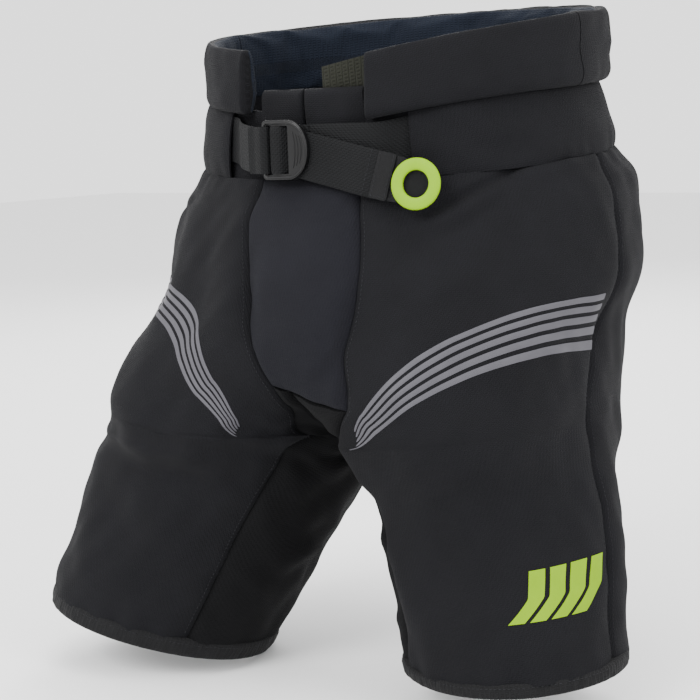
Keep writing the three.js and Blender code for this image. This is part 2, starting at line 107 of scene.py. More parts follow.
def makeStudio(setup):
    place = setup["floor"]
    mesh = bpy.data.meshes.new("floor")
    h = place["size"] / 2
    mesh.from_pydata(
        [(-h, -h, place["low"]), (h, -h, place["low"]), (h, h, place["low"]), (-h, h, place["low"])], [],
        [(0, 1, 2, 3)],
    )
    floor = bpy.data.objects.new("floor", mesh)
    bpy.context.scene.collection.objects.link(floor)
    paint = bpy.data.materials.new("floorPaint")
    paint.use_nodes = True
    shader = paint.node_tree.nodes["Principled BSDF"]
    shader.inputs["Base Color"].default_value = (*place["color"], 1)
    shader.inputs["Roughness"].default_value = 0.9
    mesh.materials.append(paint)
    for name, at, aim, width, height, watts in setup["lamps"]:
        data = bpy.data.lights.new(name, "AREA")
        data.shape, data.size, data.size_y, data.energy = "RECTANGLE", width, height, watts
        lamp = bpy.data.objects.new(name, data)
        bpy.context.scene.collection.objects.link(lamp)
        lamp.location = at
        lamp.rotation_mode = "QUATERNION"
        lamp.rotation_quaternion = (Vector(aim) - Vector(at)).to_track_quat("-Z", "Y")
    world = bpy.data.worlds.new("sky")
    world.use_nodes = True
    world.node_tree.nodes["Background"].inputs["Color"].default_value = (*setup["sky"], 1)
    world.node_tree.nodes["Background"].inputs["Strength"].default_value = setup["skyStrength"]
    bpy.context.scene.world = world


makeStudio(studio)
print("camera, floor and lamps made")

# The garment's half sections from the waist down, in millimetres: out, y, z, half width, half depth,
# roll, pitch, squareness and twist. They are the ones that the solids were cut from.
waistSections = [
    [0, -2, 24, 175, 136, 0, 4, 2.1, 0],
    [0, 3, -38, 187, 141, 0, 5, 2.1, 0],
    [0, 1, -82, 208, 156, 0, 7, 2.15, 0],
    [0, -6, -134, 216, 166, 0, 5, 2.2, 0],
    [31, -22, -190, 175, 163, 3, 2, 2.2, 0],
    [95, -40, -250, 110, 146, 5, 0, 2.15, 0],
    [111, -48, -282, 99, 129, 6, -1, 2.15, 4],
]
legSections = {
    "left": [
        [123, -55, -317, 91, 107, 6, 1, 2.1, 12], [142, -73, -395, 96, 91, 6, 1, 2.1, 25],
        [154, -85, -453, 99, 85, 5, 1, 2.1, 30],
    ],
    "right": [
        [142, -72, -315, 119, 115, 9, -4, 2.1, 12], [164, -101, -379, 110, 97, 12, -7, 2.1, 25],
        [190, -128, -457, 99, 87, 13, -8, 2.1, 30],
    ],
}
fullness = {
    "left": [0, 0, 0, 0, 0, 0, 0, 0, 0, 0],
    "right": [0, 0, 0, 0, 16, 34, 36, 0, 0, 0],
    "middle": 0.45,
    "reach": 0.27,
}
outward = {"left": 1, "right": -1}
sides = ("right", "left")


def withSlopes(rows):
    rows = np.array(rows, float)
    step = np.diff(rows, axis=0)
    slope = np.zeros_like(rows)
    slope[0], slope[-1] = step[0], step[-1]
    before, after = step[:-1], step[1:]
    same = before * after > 0
    slope[1:-1] = np.where(same, 2 * before * after / np.where(same, before + after, 1), 0)
    return rows, slope


halves = {
    side: withSlopes(
        [row + [full] for row, full in zip(waistSections + legSections[side], fullness[side])]
    ) for side in sides
}


def signedPower(x, p):
    return np.sign(x) * np.abs(x) ** p


def smooth(x, low, high):
    t = np.clip((np.asarray(x, float) - low) / (high - low), 0, 1)
    return t * t * (3 - 2 * t)


def halfPoint(side, u, s, depth=0.0):
    rows, slope = halves[side]
    u, s, depth = np.broadcast_arrays(*(np.asarray(x, float) for x in (u, s, depth)))
    x = np.clip(s, 0, len(rows) - 1)
    i = np.minimum(x.astype(int), len(rows) - 2)
    f = (x - i)[..., None]
    f2, f3 = f * f, f * f * f
    row = (2 * f3 - 3 * f2 + 1) * rows[i] + (f3 - 2 * f2 + f) * slope[i]
    row = row + (3 * f2 - 2 * f3) * rows[i + 1] + (f3 - f2) * slope[i + 1]
    out, y, z, width, length, roll, pitch, power, twist, full = np.moveaxis(row, -1, 0)
    a, b = width - depth, length - depth
    roll, pitch, twist = np.radians(roll), np.radians(pitch), np.radians(twist)
    start = np.arccos(np.clip(out / (a * np.cos(roll)), 0, 1) ** (power / 2))
    turn = start + (2 * math.pi - 2 * start) * u + twist
    full = full * np.exp(-(((np.clip(u, 0, 1) - fullness["middle"]) / fullness["reach"]) ** 4))
    ex = -signedPower(np.cos(turn), 2 / power) * (a + full)
    ey = -signedPower(np.sin(turn), 2 / power) * (b + full)
    lx = ex * np.cos(twist) + ey * np.sin(twist)
    ly = -ex * np.sin(twist) + ey * np.cos(twist)
    px = (out + lx * np.cos(roll)) * outward[side]
    py = y + ly * np.cos(pitch)
    pz = z + lx * np.sin(roll) + ly * np.sin(pitch)
    return np.stack([px, py, pz], -1) / 1000


def aroundPoint(v, s, depth=0.0):
    v = np.asarray(v, float)
    turned = np.where(v > 1, v - 2, np.where(v < -1, v + 2, v))
    left = halfPoint("left", np.abs(turned), s, depth)
    right = halfPoint("right", np.abs(turned), s, depth)
    return np.where((turned < 0)[..., None], right, left)


def unit(v):
    return v / np.maximum(np.linalg.norm(v, axis=-1, keepdims=True), 1e-12)


def outFace(side, u, s):
    e = 0.004
    across = halfPoint(side, u + e, s) - halfPoint(side, u - e, s)
    down = halfPoint(side, u, s + 4 * e) - halfPoint(side, u, s - 4 * e)
    return unit(np.cross(across, down)) * -outward[side]


def ripple(points, length, seed, squeeze=(1, 1, 1), count=14):
    rng = np.random.default_rng(seed)
    k = rng.normal(size=(count, 3))
    k = k / np.linalg.norm(k, axis=1, keepdims=True) * (2 * math.pi / length)
    k = k * rng.uniform(0.7, 1.4, (count, 1))
    phase = rng.uniform(0, 2 * math.pi, count)
    return np.sin((points * np.array(squeeze)) @ k.T + phase).sum(-1) / math.sqrt(count / 2)


# How the cloth stands off its plain section, in millimetres.
folds = {
    "foam": (1.5, 0.085),
    "cloth": (0.45, 0.032),
    "waistPucker": 0.6,
    "hipFold": 4.6,
    "crotchDrag": 1.1,
    "innerThigh": 2.4,
    "hemPull": 0.7,
}


def foldHeight(side, u, s, p):
    foamHigh, foamLength = folds["foam"]
    clothHigh, clothLength = folds["cloth"]
    high = foamHigh * ripple(p, foamLength, 3) + clothHigh * ripple(p, clothLength, 5)
    high = high * smooth(s, 1.1, 1.9)
    waist = np.exp(-(((s - 1.2) / 0.28) ** 2))
    high = high + folds["waistPucker"] * waist * ripple(p, 0.022, 7, (1, 1, 0.3))
    if side == "left":
        line = 1.75 - 0.75 * smooth(u, 0.12, 0.4)  # a sag under the belt tunnel on the wearer's left
        span = smooth(u, 0.13, 0.2) * (1 - smooth(u, 0.46, 0.56))
        high = high - folds["hipFold"] * span * np.exp(-(((s - line) / 0.09) ** 2))
        high = high + 0.8 * folds["hipFold"] * span * np.exp(-(((s - line - 0.24) / 0.17) ** 2))
        line = 2.15 - 0.85 * smooth(u, 0.16, 0.36)
        span = smooth(u, 0.15, 0.22) * (1 - smooth(u, 0.3, 0.4))
        high = high - 0.45 * folds["hipFold"] * span * np.exp(-(((s - line) / 0.13) ** 2))
    else:
        line = 1.6 + 0.9 * smooth(u, 0.25, 0.5)
        span = smooth(u, 0.2, 0.3) * (1 - smooth(u, 0.55, 0.7))
        high = high - 0.5 * folds["hipFold"] * span * np.exp(-(((s - line) / 0.12) ** 2))
    near = np.exp(-(((s - 5.3) / 0.9) ** 2)) * np.exp(-((u / 0.2) ** 2))
    high = high + folds["crotchDrag"] * near * np.sin(26 * u + 7.5 * s + 1.2 * ripple(p, 0.06, 11))
    behind = np.exp(-(((s - 5.2) / 1.0) ** 2)) * np.exp(-(((u - 1) / 0.2) ** 2))
    high = high + folds["crotchDrag"] * behind * np.sin(-24 * u + 6.5 * s + 1.2 * ripple(p, 0.06, 12))
    round_ = np.mod(u + 0.5, 1) - 0.5
    inner = np.exp(-(((round_ - 0.01) / 0.09) ** 2)) * smooth(s, 5.6, 6.2) * (1 - smooth(s, 8, 8.7))
    high = high + folds["innerThigh"] * inner * np.sin(46 * round_ + 9 * s + 1.6 * ripple(p, 0.07, 17))
    hem = smooth(s, 8.2, 8.8)
    return high + folds["hemPull"] * hem * ripple(p, 0.03, 19, (1, 1, 0.25))


def clothPoint(side, u, s, lift=0.0):
    p = halfPoint(side, u, s)
    high = foldHeight(side, u, s, p) + lift
    return p + outFace(side, u, s) * (high / 1000)[..., None]


def ruleThrough(pairs):
    x, y = (np.array(k, float) for k in zip(*pairs))
    fine = np.linspace(x[0], x[-1], 200)
    slope = np.gradient(y, x)
    i = np.clip(np.searchsorted(x, fine, side="right") - 1, 0, len(x) - 2)
    w = x[i + 1] - x[i]
    t = (fine - x[i]) / w
    t2, t3 = t * t, t * t * t
    value = (2 * t3 - 3 * t2 + 1) * y[i] + (t3 - 2 * t2 + t) * w * slope[i]
    value = value + (3 * t2 - 2 * t3) * y[i + 1] + (t3 - t2) * w * slope[i + 1]
    return lambda s: np.interp(s, fine, value)


# Seam lines, as shares of the half girth against the section number.
pouchSeam = {
    "right": ruleThrough([(1, 0.079), (1.9, 0.076), (2.8, 0.058), (3.75, 0.042), (4.1, 0.036), (4.5, 0.024)]),
    "left": ruleThrough([(1, 0.077), (1.9, 0.082), (2.9, 0.085), (3.6, 0.083), (4.1, 0.088), (4.7, 0.13)]),
}
seams = {
    "waist": 1.16, "hem": 8.86, "side": 0.5, "gusset": 0.115, "back": 0.87, "pouchBottom": 4.52,
    "pouchTilt": 1.5,
}


def frontSeam(side):
    return lambda s: pouchSeam[side](s) + (seams["gusset"] - pouchSeam[side](s)) * smooth(s, 4.6, 5.9)


def backSeam(s):
    return 1 + (seams["back"] - 1) * smooth(s, 5.6, 6.9)


def bendToThigh(piece):
    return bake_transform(piece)


def placed(name, mesh):
    piece = bpy.data.objects.new(name, mesh)
    bpy.context.scene.collection.objects.link(piece)
    return piece


def spread(count, crowd=0.75):
    t = np.linspace(0, 1, count + 1)
    return t * (1 - crowd) + crowd * (1 - np.cos(math.pi * t)) / 2


def arcs(points, axis):
    step = np.linalg.norm(np.diff(points, axis=axis), axis=-1)
    pad = [(0, 0)] * step.ndim
    pad[axis] = (1, 0)
    return np.pad(np.cumsum(step, axis=axis), pad)


def finishMesh(name, points, faces, uvs, sharp=50, facing=True):
    mesh = bpy.data.meshes.new(name)
    mesh.from_pydata(points.tolist(), [], faces.tolist())
    if uvs is not None:
        layer = mesh.uv_layers.new(name="UVMap")
        loops = np.empty(len(mesh.loops), np.int32)
        mesh.loops.foreach_get("vertex_index", loops)
        layer.data.foreach_set("uv", uvs[loops].astype(np.float32).ravel())
    if facing:
        work = bmesh.new()
        work.from_mesh(mesh)
        bmesh.ops.recalc_face_normals(work, faces=work.faces)
        work.to_mesh(mesh)
        work.free()
    mesh.shade_smooth()
    mesh.set_sharp_from_angle(angle=math.radians(sharp))
    return placed(name, mesh)


def shell(name, outer, inner, ring=False, sharp=50):
    rowCount, columnCount = outer.shape[:2]
    points = np.concatenate([outer.reshape(-1, 3), inner.reshape(-1, 3)])
    columns = columnCount if ring else columnCount - 1
    r, c = np.meshgrid(np.arange(rowCount - 1), np.arange(columns), indexing="ij")
    r, c = r.ravel(), c.ravel()
    n = (c + 1) % columnCount
    at = lambda face, row, col: face * rowCount * columnCount + row * columnCount + col
    faces = [np.stack([at(0, r, c), at(0, r, n), at(0, r + 1, n), at(0, r + 1, c)], -1)]
    faces.append(np.stack([at(1, r, c), at(1, r + 1, c), at(1, r + 1, n), at(1, r, n)], -1))
    c = np.arange(columns)
    n = (c + 1) % columnCount
    last = rowCount - 1
    faces.append(np.stack([at(0, 0, c), at(1, 0, c), at(1, 0, n), at(0, 0, n)], -1))
    faces.append(np.stack([at(0, last, c), at(0, last, n), at(1, last, n), at(1, last, c)], -1))
    if not ring:
        r = np.arange(rowCount - 1)
        end = columnCount - 1
        faces.append(np.stack([at(0, r, 0), at(0, r + 1, 0), at(1, r + 1, 0), at(1, r, 0)], -1))
        faces.append(np.stack([at(0, r, end), at(1, r, end), at(1, r + 1, end), at(0, r + 1, end)], -1))
    across = arcs(outer, 1)
    uv = np.stack([across - across[:, -1:] / 2, -arcs(outer, 0)], -1).reshape(-1, 2)
    return finishMesh(name, points, np.concatenate(faces), np.concatenate([uv, uv]), sharp)


# Cloth simulation: a closed cover swells between the points that are sewn down, and the mesh keeps it.
swelling = {"pressure": 4, "frames": 20, "mass": 0.25, "stiffness": 14}


def puffed(piece, sewn, cap):
    held = piece.vertex_groups.new(name="sewn")
    held.add([int(i) for i in np.nonzero(sewn)[0]], 1, "REPLACE")
    swell = piece.modifiers.new("swell", "CLOTH")
    rules = swell.settings
    rules.quality, rules.mass = 5, swelling["mass"]
    rules.use_pressure, rules.uniform_pressure_force = True, swelling["pressure"]
    rules.tension_stiffness = rules.compression_stiffness = swelling["stiffness"]
    rules.effector_weights.gravity = 0
    rules.vertex_group_mass = "sewn"
    for frame in range(1, swelling["frames"] + 1):
        bpy.context.scene.frame_set(frame)
    moved = piece.evaluated_get(bpy.context.evaluated_depsgraph_get()).data
    before, after = np.empty(len(piece.data.vertices) * 3), np.empty(len(moved.vertices) * 3)
    piece.data.vertices.foreach_get("co", before)
    moved.vertices.foreach_get("co", after)
    piece.modifiers.remove(swell)
    piece.vertex_groups.remove(held)
    step = (after - before).reshape(-1, 3)
    length = np.linalg.norm(step, axis=1, keepdims=True)
    step = step * np.minimum(1, cap / np.maximum(length, 1e-9))
    piece.data.vertices.foreach_set("co", (before.reshape(-1, 3) + step).ravel())
    piece.data.update()
    bpy.context.scene.frame_set(1)
    print(f"{piece.name} swelled by up to {1000 * min(cap, length.max()):.1f} mm")
    return piece


# Linings: one sheet for each half, from the waist seam to the hem. The panels stay outside them.
lining = {
    "top": 1.17, "bottom": 8.82, "depth": 15.8, "thickness": 0.8, "rows": 90, "columns": 96,
    "flat": {"right": (0.66, 0.4), "left": (0.58, 0.4)},
}


def liningDepth(s):
    return lining["depth"] - 8.2 * (1 - smooth(s, 1.1, 1.7)) - 10.4 * smooth(s, 8, 8.7)


# A padded panel: foam between an outer cloth and an inner one, pinched where it is sewn.
panelMake = {"thickness": 13.5, "pinch": 4.2, "pinchReach": 4.0, "round": 1.6, "roundReach": 13, "gap": 0.15}


def sewnEdge(distance):
    # millimetres that the outer face falls, at a distance from a seam
    return panelMake["pinch"] * np.exp(-distance / panelMake["pinchReach"]) + panelMake["round"] * np.exp(
        -((distance / panelMake["roundReach"]) ** 2)
    )


def panel(name, side, edges, top, bottom, rowCount, columnCount, seamsAt=(1, 1, 0.4, 0)):
    c, r = np.meshgrid(spread(columnCount), spread(rowCount, 0.6))
    s = np.full_like(c, 3.0)
    for _ in range(8):
        low, high = edges[0](s), edges[1](s)
        u = low + (high - low) * c
        t = top(u) if callable(top) else top
        s = t + (bottom - t) * r
    base = clothPoint(side, u, s)
    across, down = arcs(base, 1) * 1000, arcs(base, 0) * 1000
    toLeft, toRight = across, across[:, -1:] - across
    toTop, toBottom = down, down[-1:] - down
    drop = np.zeros_like(c)
    inward = np.full_like(c, panelMake["thickness"])
    for share, distance in zip(seamsAt, (toLeft, toRight, toTop, toBottom)):
        drop = np.maximum(drop, share * sewnEdge(distance))
    nearest = np.minimum(np.minimum(toLeft, toRight), np.minimum(toTop, toBottom))
    inward = 7 + (inward - 7) * smooth(nearest, 0, 14)
    face = outFace(side, u, s)
    outer = base - face * (drop / 1000)[..., None]
    plain = halfPoint(side, u, s)
    inward = np.maximum(np.minimum(inward, liningDepth(s) - 1.2), drop - foldHeight(side, u, s, plain) + 0.8)
    inner = plain - face * (inward / 1000)[..., None]
    return shell(name, outer, inner)


panels = {
    "frontRows": 150, "frontColumns": 96, "backRows": 120, "backColumns": 84, "innerRows": 110,
    "innerColumns": 44,
}
made = {}
for side in sides:
    made["front_" + side] = panel(
        f"front_panel_{side}", side, (frontSeam(side), lambda s: np.full_like(s, seams["side"])),
        seams["waist"], seams["hem"], panels["frontRows"], panels["frontColumns"],
    )
    made["back_" + side] = panel(
        f"back_panel_{side}", side, (lambda s: np.full_like(s, seams["side"]), backSeam),
        seams["waist"], seams["hem"], panels["backRows"], panels["backColumns"],
    )
    sign = outward[side]
    made["inner_" + side] = panel(
        f"inner_panel_{side}", side, (lambda s: backSeam(s) - 1, frontSeam(side)),
        lambda u: seams["pouchBottom"] + seams["pouchTilt"] * sign * np.clip(u, 0, 0.13), seams["hem"],
        panels["innerRows"], panels["innerColumns"],
    )
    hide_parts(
        f"hip_front_{side}", f"thigh_front_{side}", f"hip_pad_{side}",
        f"thigh_pad_{side}",
    )
    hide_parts(f"seat_{side}", f"thigh_back_{side}")
    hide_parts(f"gusset_{side}", f"inner_thigh_{side}")
print("panels made")

pouchMake = {"rows": 84, "columns": 64, "bulge": 8.5, "thickness": 11, "smoothings": 60, "cap": 0.006}


def makePouch(setup):
    c, r = np.meshgrid(spread(setup["columns"]), spread(setup["rows"], 0.6))
    s = np.full_like(c, 2.5)
    for _ in range(8):
        v = -pouchSeam["right"](s) + (pouchSeam["left"](s) + pouchSeam["right"](s)) * c
        s = seams["waist"] + (seams["pouchBottom"] + seams["pouchTilt"] * v - seams["waist"]) * r
    plain = aroundPoint(v, s)
    high = np.where(v < 0, foldHeight("right", np.abs(v), s, plain), foldHeight("left", np.abs(v), s, plain))
    face = np.where((v < 0)[..., None], outFace("right", np.abs(v), s), outFace("left", np.abs(v), s))
    base = plain + face * (high / 1000)[..., None]
    core = plain.copy()
    for _ in range(setup["smoothings"]):  # the cloth is taut between its seams, so it spans the centre crease
        core[1:-1, 1:-1] = (core[:-2, 1:-1] + core[2:, 1:-1] + core[1:-1, :-2] + core[1:-1, 2:]) / 4
    across, down = arcs(base, 1) * 1000, arcs(base, 0) * 1000
    toSide = np.minimum(across, across[:, -1:] - across)
    toEnd = np.minimum(down, down[-1:] - down)
    inside = smooth(np.minimum(toSide, toEnd), 0, 24)[..., None]
    base = base * (1 - inside) + core * inside
    bulge = setup["bulge"] * np.sin(math.pi * c) ** 0.75 * np.clip(
        np.sin(math.pi * np.clip(r, 0, 1)), 0, 1
    ) ** 0.6
    corner = np.exp(-(((c - 0.93) / 0.28) ** 2 + ((r - 0.9) / 0.13) ** 2))
    pucker = 1.1 * corner * np.sin(34 * (r - 0.9) + 16 * (c - 0.93)) + 0.5 * ripple(base, 0.05, 23)
    drop = np.maximum(sewnEdge(toSide), sewnEdge(toEnd))
    forward = np.zeros_like(base)
    forward[..., 1] = -(bulge + pucker * smooth(toSide, 0, 10)) / 1000
    outer = base + forward - face * (drop / 1000)[..., None]
    inner = base + forward * 0.6 - face * (setup["thickness"] / 1000)
    sewn = np.stack([np.minimum(toSide, toEnd) < 1.5, np.ones_like(c, bool)])
    return puffed(shell("front_pouch_panel", outer, inner), sewn.ravel(), setup["cap"])


made["pouch"] = makePouch(pouchMake)
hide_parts("front_pouch", "belly_pad")
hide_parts("tailbone_pad")
print("pouch made")

for side in sides:
    for place in ("front", "back", "inner"):
        bendToThigh(made[f"{place}_{side}"])
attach(made["pouch"], "pelvis")

# Finishes. The groups put out only masks and heights; every shader stays in its own material.


def groupSocket(tree, name, way, kind="NodeSocketFloat", value=None):
    socket = tree.interface.new_socket(name=name, in_out=way, socket_type=kind)
    if value is not None:
        socket.default_value = value
    return socket


def mathNode(tree, operation, a, b=None, clamp=False):
    node = tree.nodes.new("ShaderNodeMath")
    node.operation = operation
    node.use_clamp = clamp
    for i, value in enumerate((a, b)):
        if value is None:
            continue
        if isinstance(value, (int, float)):
            node.inputs[i].default_value = value
        else:
            tree.links.new(value, node.inputs[i])
    return node.outputs[0]


def weaveGroup():
    tree = bpy.data.node_groups.new("clothWeave", "ShaderNodeTree")
    groupSocket(tree, "Vector", "INPUT", "NodeSocketVector")
    groupSocket(tree, "Threads per metre", "INPUT", value=900)
    groupSocket(tree, "Twill", "INPUT", value=0.5)
    groupSocket(tree, "Height", "OUTPUT")
    groupSocket(tree, "Crossing", "OUTPUT")
    inside, outside = tree.nodes.new("NodeGroupInput"), tree.nodes.new("NodeGroupOutput")
    split = tree.nodes.new("ShaderNodeSeparateXYZ")
    tree.links.new(inside.outputs["Vector"], split.inputs[0])
    perMetre = mathNode(tree, "MULTIPLY", inside.outputs["Threads per metre"], math.pi)
    x = mathNode(tree, "MULTIPLY", split.outputs[0], perMetre)
    y = mathNode(tree, "MULTIPLY", split.outputs[1], perMetre)
    warp = mathNode(tree, "ABSOLUTE", mathNode(tree, "SINE", x))
    weft = mathNode(tree, "ABSOLUTE", mathNode(tree, "SINE", y))
    leaning = mathNode(tree, "ADD", x, mathNode(tree, "MULTIPLY", y, inside.outputs["Twill"]))
    over = mathNode(tree, "GREATER_THAN", mathNode(tree, "SINE", leaning), 0)
    under = mathNode(tree, "SUBTRACT", 1, over)
    high = mathNode(
        tree, "ADD", mathNode(tree, "MULTIPLY", warp, over), mathNode(tree, "MULTIPLY", weft, under)
    )
    tree.links.new(high, outside.inputs["Height"])
    tree.links.new(mathNode(tree, "MULTIPLY", warp, weft), outside.inputs["Crossing"])
    return tree


def mottleGroup():
    tree = bpy.data.node_groups.new("clothMottle", "ShaderNodeTree")
    groupSocket(tree, "Vector", "INPUT", "NodeSocketVector")
    groupSocket(tree, "Cloud size", "INPUT", value=14)
    groupSocket(tree, "Lint size", "INPUT", value=700)
    groupSocket(tree, "Cloud", "OUTPUT")
    groupSocket(tree, "Lint", "OUTPUT")
    inside, outside = tree.nodes.new("NodeGroupInput"), tree.nodes.new("NodeGroupOutput")
    for source, target, detail in (("Cloud size", "Cloud", 4), ("Lint size", "Lint", 3)):
        noise = tree.nodes.new("ShaderNodeTexNoise")
        noise.inputs["Detail"].default_value = detail
        noise.inputs["Roughness"].default_value = 0.6
        tree.links.new(inside.outputs["Vector"], noise.inputs["Vector"])
        tree.links.new(inside.outputs[source], noise.inputs["Scale"])
        tree.links.new(noise.outputs["Fac"], outside.inputs[target])
    return tree


weave, mottle = weaveGroup(), mottleGroup()


def cloth(
    name, dark, light, threads, twill=0.5, depth=0.0004, rough=(0.8, 0.95), sheen=0.25, sheenTint=(1, 1, 1),
    specular=0.3, lint=0.35, uv=True, mottleSize=14,
):
    material = bpy.data.materials.new(name)
    material.use_nodes = True
    tree = material.node_tree
    shader = tree.nodes["Principled BSDF"]
    where = tree.nodes.new("ShaderNodeTexCoord")
    mapped = tree.nodes.new("ShaderNodeUVMap")
    mapped.uv_map = "UVMap"
    weaving = tree.nodes.new("ShaderNodeGroup")
    weaving.node_tree = weave
    tree.links.new(mapped.outputs["UV"] if uv else where.outputs["Object"], weaving.inputs["Vector"])
    weaving.inputs["Threads per metre"].default_value = threads
    weaving.inputs["Twill"].default_value = twill
    patches = tree.nodes.new("ShaderNodeGroup")
    patches.node_tree = mottle
    patches.inputs["Cloud size"].default_value = mottleSize
    tree.links.new(where.outputs["Object"], patches.inputs["Vector"])
    share = mathNode(tree, "MULTIPLY", patches.outputs["Cloud"], 0.55)
    share = mathNode(tree, "ADD", share, mathNode(tree, "MULTIPLY", patches.outputs["Lint"], lint))
    share = mathNode(tree, "ADD", share, mathNode(tree, "MULTIPLY", weaving.outputs["Height"], 0.35))
    share = mathNode(tree, "SUBTRACT", share, 0.28, clamp=True)
    mix = tree.nodes.new("ShaderNodeMix")
    mix.data_type = "RGBA"
    mix.inputs["A"].default_value = (*dark, 1)
    mix.inputs["B"].default_value = (*light, 1)
    tree.links.new(share, mix.inputs["Factor"])
    tree.links.new(mix.outputs["Result"], shader.inputs["Base Color"])
    low, high = rough
    tree.links.new(
        mathNode(tree, "ADD", low, mathNode(tree, "MULTIPLY", patches.outputs["Lint"], high - low)),
        shader.inputs["Roughness"],
    )
    bump = tree.nodes.new("ShaderNodeBump")
    bump.inputs["Strength"].default_value = 0.75
    bump.inputs["Distance"].default_value = depth
    rise = mathNode(
        tree, "ADD", weaving.outputs["Height"], mathNode(tree, "MULTIPLY", patches.outputs["Lint"], 0.8)
    )
    tree.links.new(rise, bump.inputs["Height"])
    tree.links.new(bump.outputs["Normal"], shader.inputs["Normal"])
    shader.inputs["Sheen Weight"].default_value = sheen
    shader.inputs["Sheen Roughness"].default_value = 0.45
    shader.inputs["Sheen Tint"].default_value = (*sheenTint, 1)
    shader.inputs["Specular IOR Level"].default_value = specular
    return material


def moulded(name, dark, light, rough, grain, depth, coat=0.0, specular=0.5, worn=None):
    material = bpy.data.materials.new(name)
    material.use_nodes = True
    tree = material.node_tree
    shader = tree.nodes["Principled BSDF"]
    where = tree.nodes.new("ShaderNodeTexCoord")
    patches = tree.nodes.new("ShaderNodeGroup")
    patches.node_tree = mottle
    patches.inputs["Cloud size"].default_value = 60
    patches.inputs["Lint size"].default_value = grain
    tree.links.new(where.outputs["Object"], patches.inputs["Vector"])
    mix = tree.nodes.new("ShaderNodeMix")
    mix.data_type = "RGBA"
    mix.inputs["A"].default_value = (*dark, 1)
    mix.inputs["B"].default_value = (*light, 1)
    share = mathNode(tree, "MULTIPLY", patches.outputs["Cloud"], 0.7)
    if worn:
        edges = tree.nodes.new("ShaderNodeNewGeometry")
        rubbed = mathNode(tree, "SUBTRACT", edges.outputs["Pointiness"], 0.52, clamp=True)
        rubbed = mathNode(tree, "MULTIPLY", rubbed, worn, clamp=True)
        share = mathNode(
            tree, "ADD", share, mathNode(tree, "MULTIPLY", rubbed, patches.outputs["Lint"]), clamp=True
        )
    tree.links.new(share, mix.inputs["Factor"])
    tree.links.new(mix.outputs["Result"], shader.inputs["Base Color"])
    low, high = rough
    tree.links.new(
        mathNode(tree, "ADD", low, mathNode(tree, "MULTIPLY", patches.outputs["Lint"], high - low)),
        shader.inputs["Roughness"],
    )
    bump = tree.nodes.new("ShaderNodeBump")
    bump.inputs["Strength"].default_value = 0.6
    bump.inputs["Distance"].default_value = depth
    tree.links.new(patches.outputs["Lint"], bump.inputs["Height"])
    tree.links.new(bump.outputs["Normal"], shader.inputs["Normal"])
    shader.inputs["Coat Weight"].default_value = coat
    shader.inputs["Coat Roughness"].default_value = 0.2
    shader.inputs["Specular IOR Level"].default_value = specular
    return material


shellCloth = cloth(
    "shellCloth", (0.0022, 0.0022, 0.0026), (0.0082, 0.0082, 0.0102), 620, sheen=0.008, specular=0.11,
    lint=0.5,
)
innerCloth = cloth(
    "innerThighMesh", (0.0013, 0.0013, 0.0015), (0.0055, 0.0055, 0.0062), 480, twill=1, sheen=0.006,
    specular=0.1,
)
pouchCloth = cloth(
    "pouchStretch", (0.003, 0.003, 0.0043), (0.0098, 0.0098, 0.0138), 760, twill=0.3, sheen=0.01,
    sheenTint=(0.85, 0.88, 1), specular=0.12,
)
liningCloth = cloth(
    "liningBrushed", (0.0035, 0.005, 0.0088), (0.0105, 0.0142, 0.0235), 420, twill=0.2, sheen=0.02,
    rough=(0.88, 1.0), depth=0.0005, specular=0.12,
)
bindingTape = cloth(
    "bindingTape", (0.0018, 0.0018, 0.002), (0.007, 0.007, 0.008), 540, twill=0, depth=0.0005, sheen=0.02,
    specular=0.2,
)
webbingWeave = cloth(
    "webbingWeave", (0.0009, 0.001, 0.0012), (0.006, 0.0063, 0.0072), 540, twill=1, depth=0.0005,
    rough=(0.62, 0.8), sheen=0.008, specular=0.13,
)
tabCloth = cloth(
    "tabCloth", (0.003, 0.003, 0.0035), (0.011, 0.011, 0.013), 420, twill=1, depth=0.0006, sheen=0.02,
    specular=0.2,
)
loopTape = cloth(
    "loopTape", (0.005, 0.0053, 0.0036), (0.015, 0.0158, 0.0105), 350, twill=0.1, depth=0.0008, sheen=0.08,
    lint=0.6, specular=0.15,
)
threadCotton = cloth(
    "sewingThread", (0.008, 0.008, 0.0095), (0.024, 0.024, 0.028), 900, twill=1, depth=0.0001, uv=False,
    sheen=0.02, specular=0.2,
)
stripeFilm = moulded(
    "stripeFilm", (0.05, 0.0485, 0.0565), (0.078, 0.076, 0.086), (0.5, 0.66), 1500, 0.0001, specular=0.22
)
bucklePlastic = moulded(
    "bucklePlastic", (0.0018, 0.0018, 0.002), (0.005, 0.005, 0.0055), (0.3, 0.42), 900, 0.00008, coat=0.05,
    specular=0.22, worn=6,
)
limeRubber = moulded(
    "limeRubber", (0.15, 0.29, 0.0), (0.21, 0.38, 0.0), (0.4, 0.55), 800, 0.0001, specular=0.12
)
limeInk = moulded("limeInk", (0.14, 0.26, 0.0), (0.19, 0.33, 0.0), (0.5, 0.65), 1200, 0.00012, specular=0.1)
print("finishes made")


def dress(piece, *materials):
    for material in materials:
        piece.data.materials.append(material)
    return piece


for key, piece in made.items():
    dress(piece, pouchCloth if key == "pouch" else innerCloth if key.startswith("inner") else shellCloth)


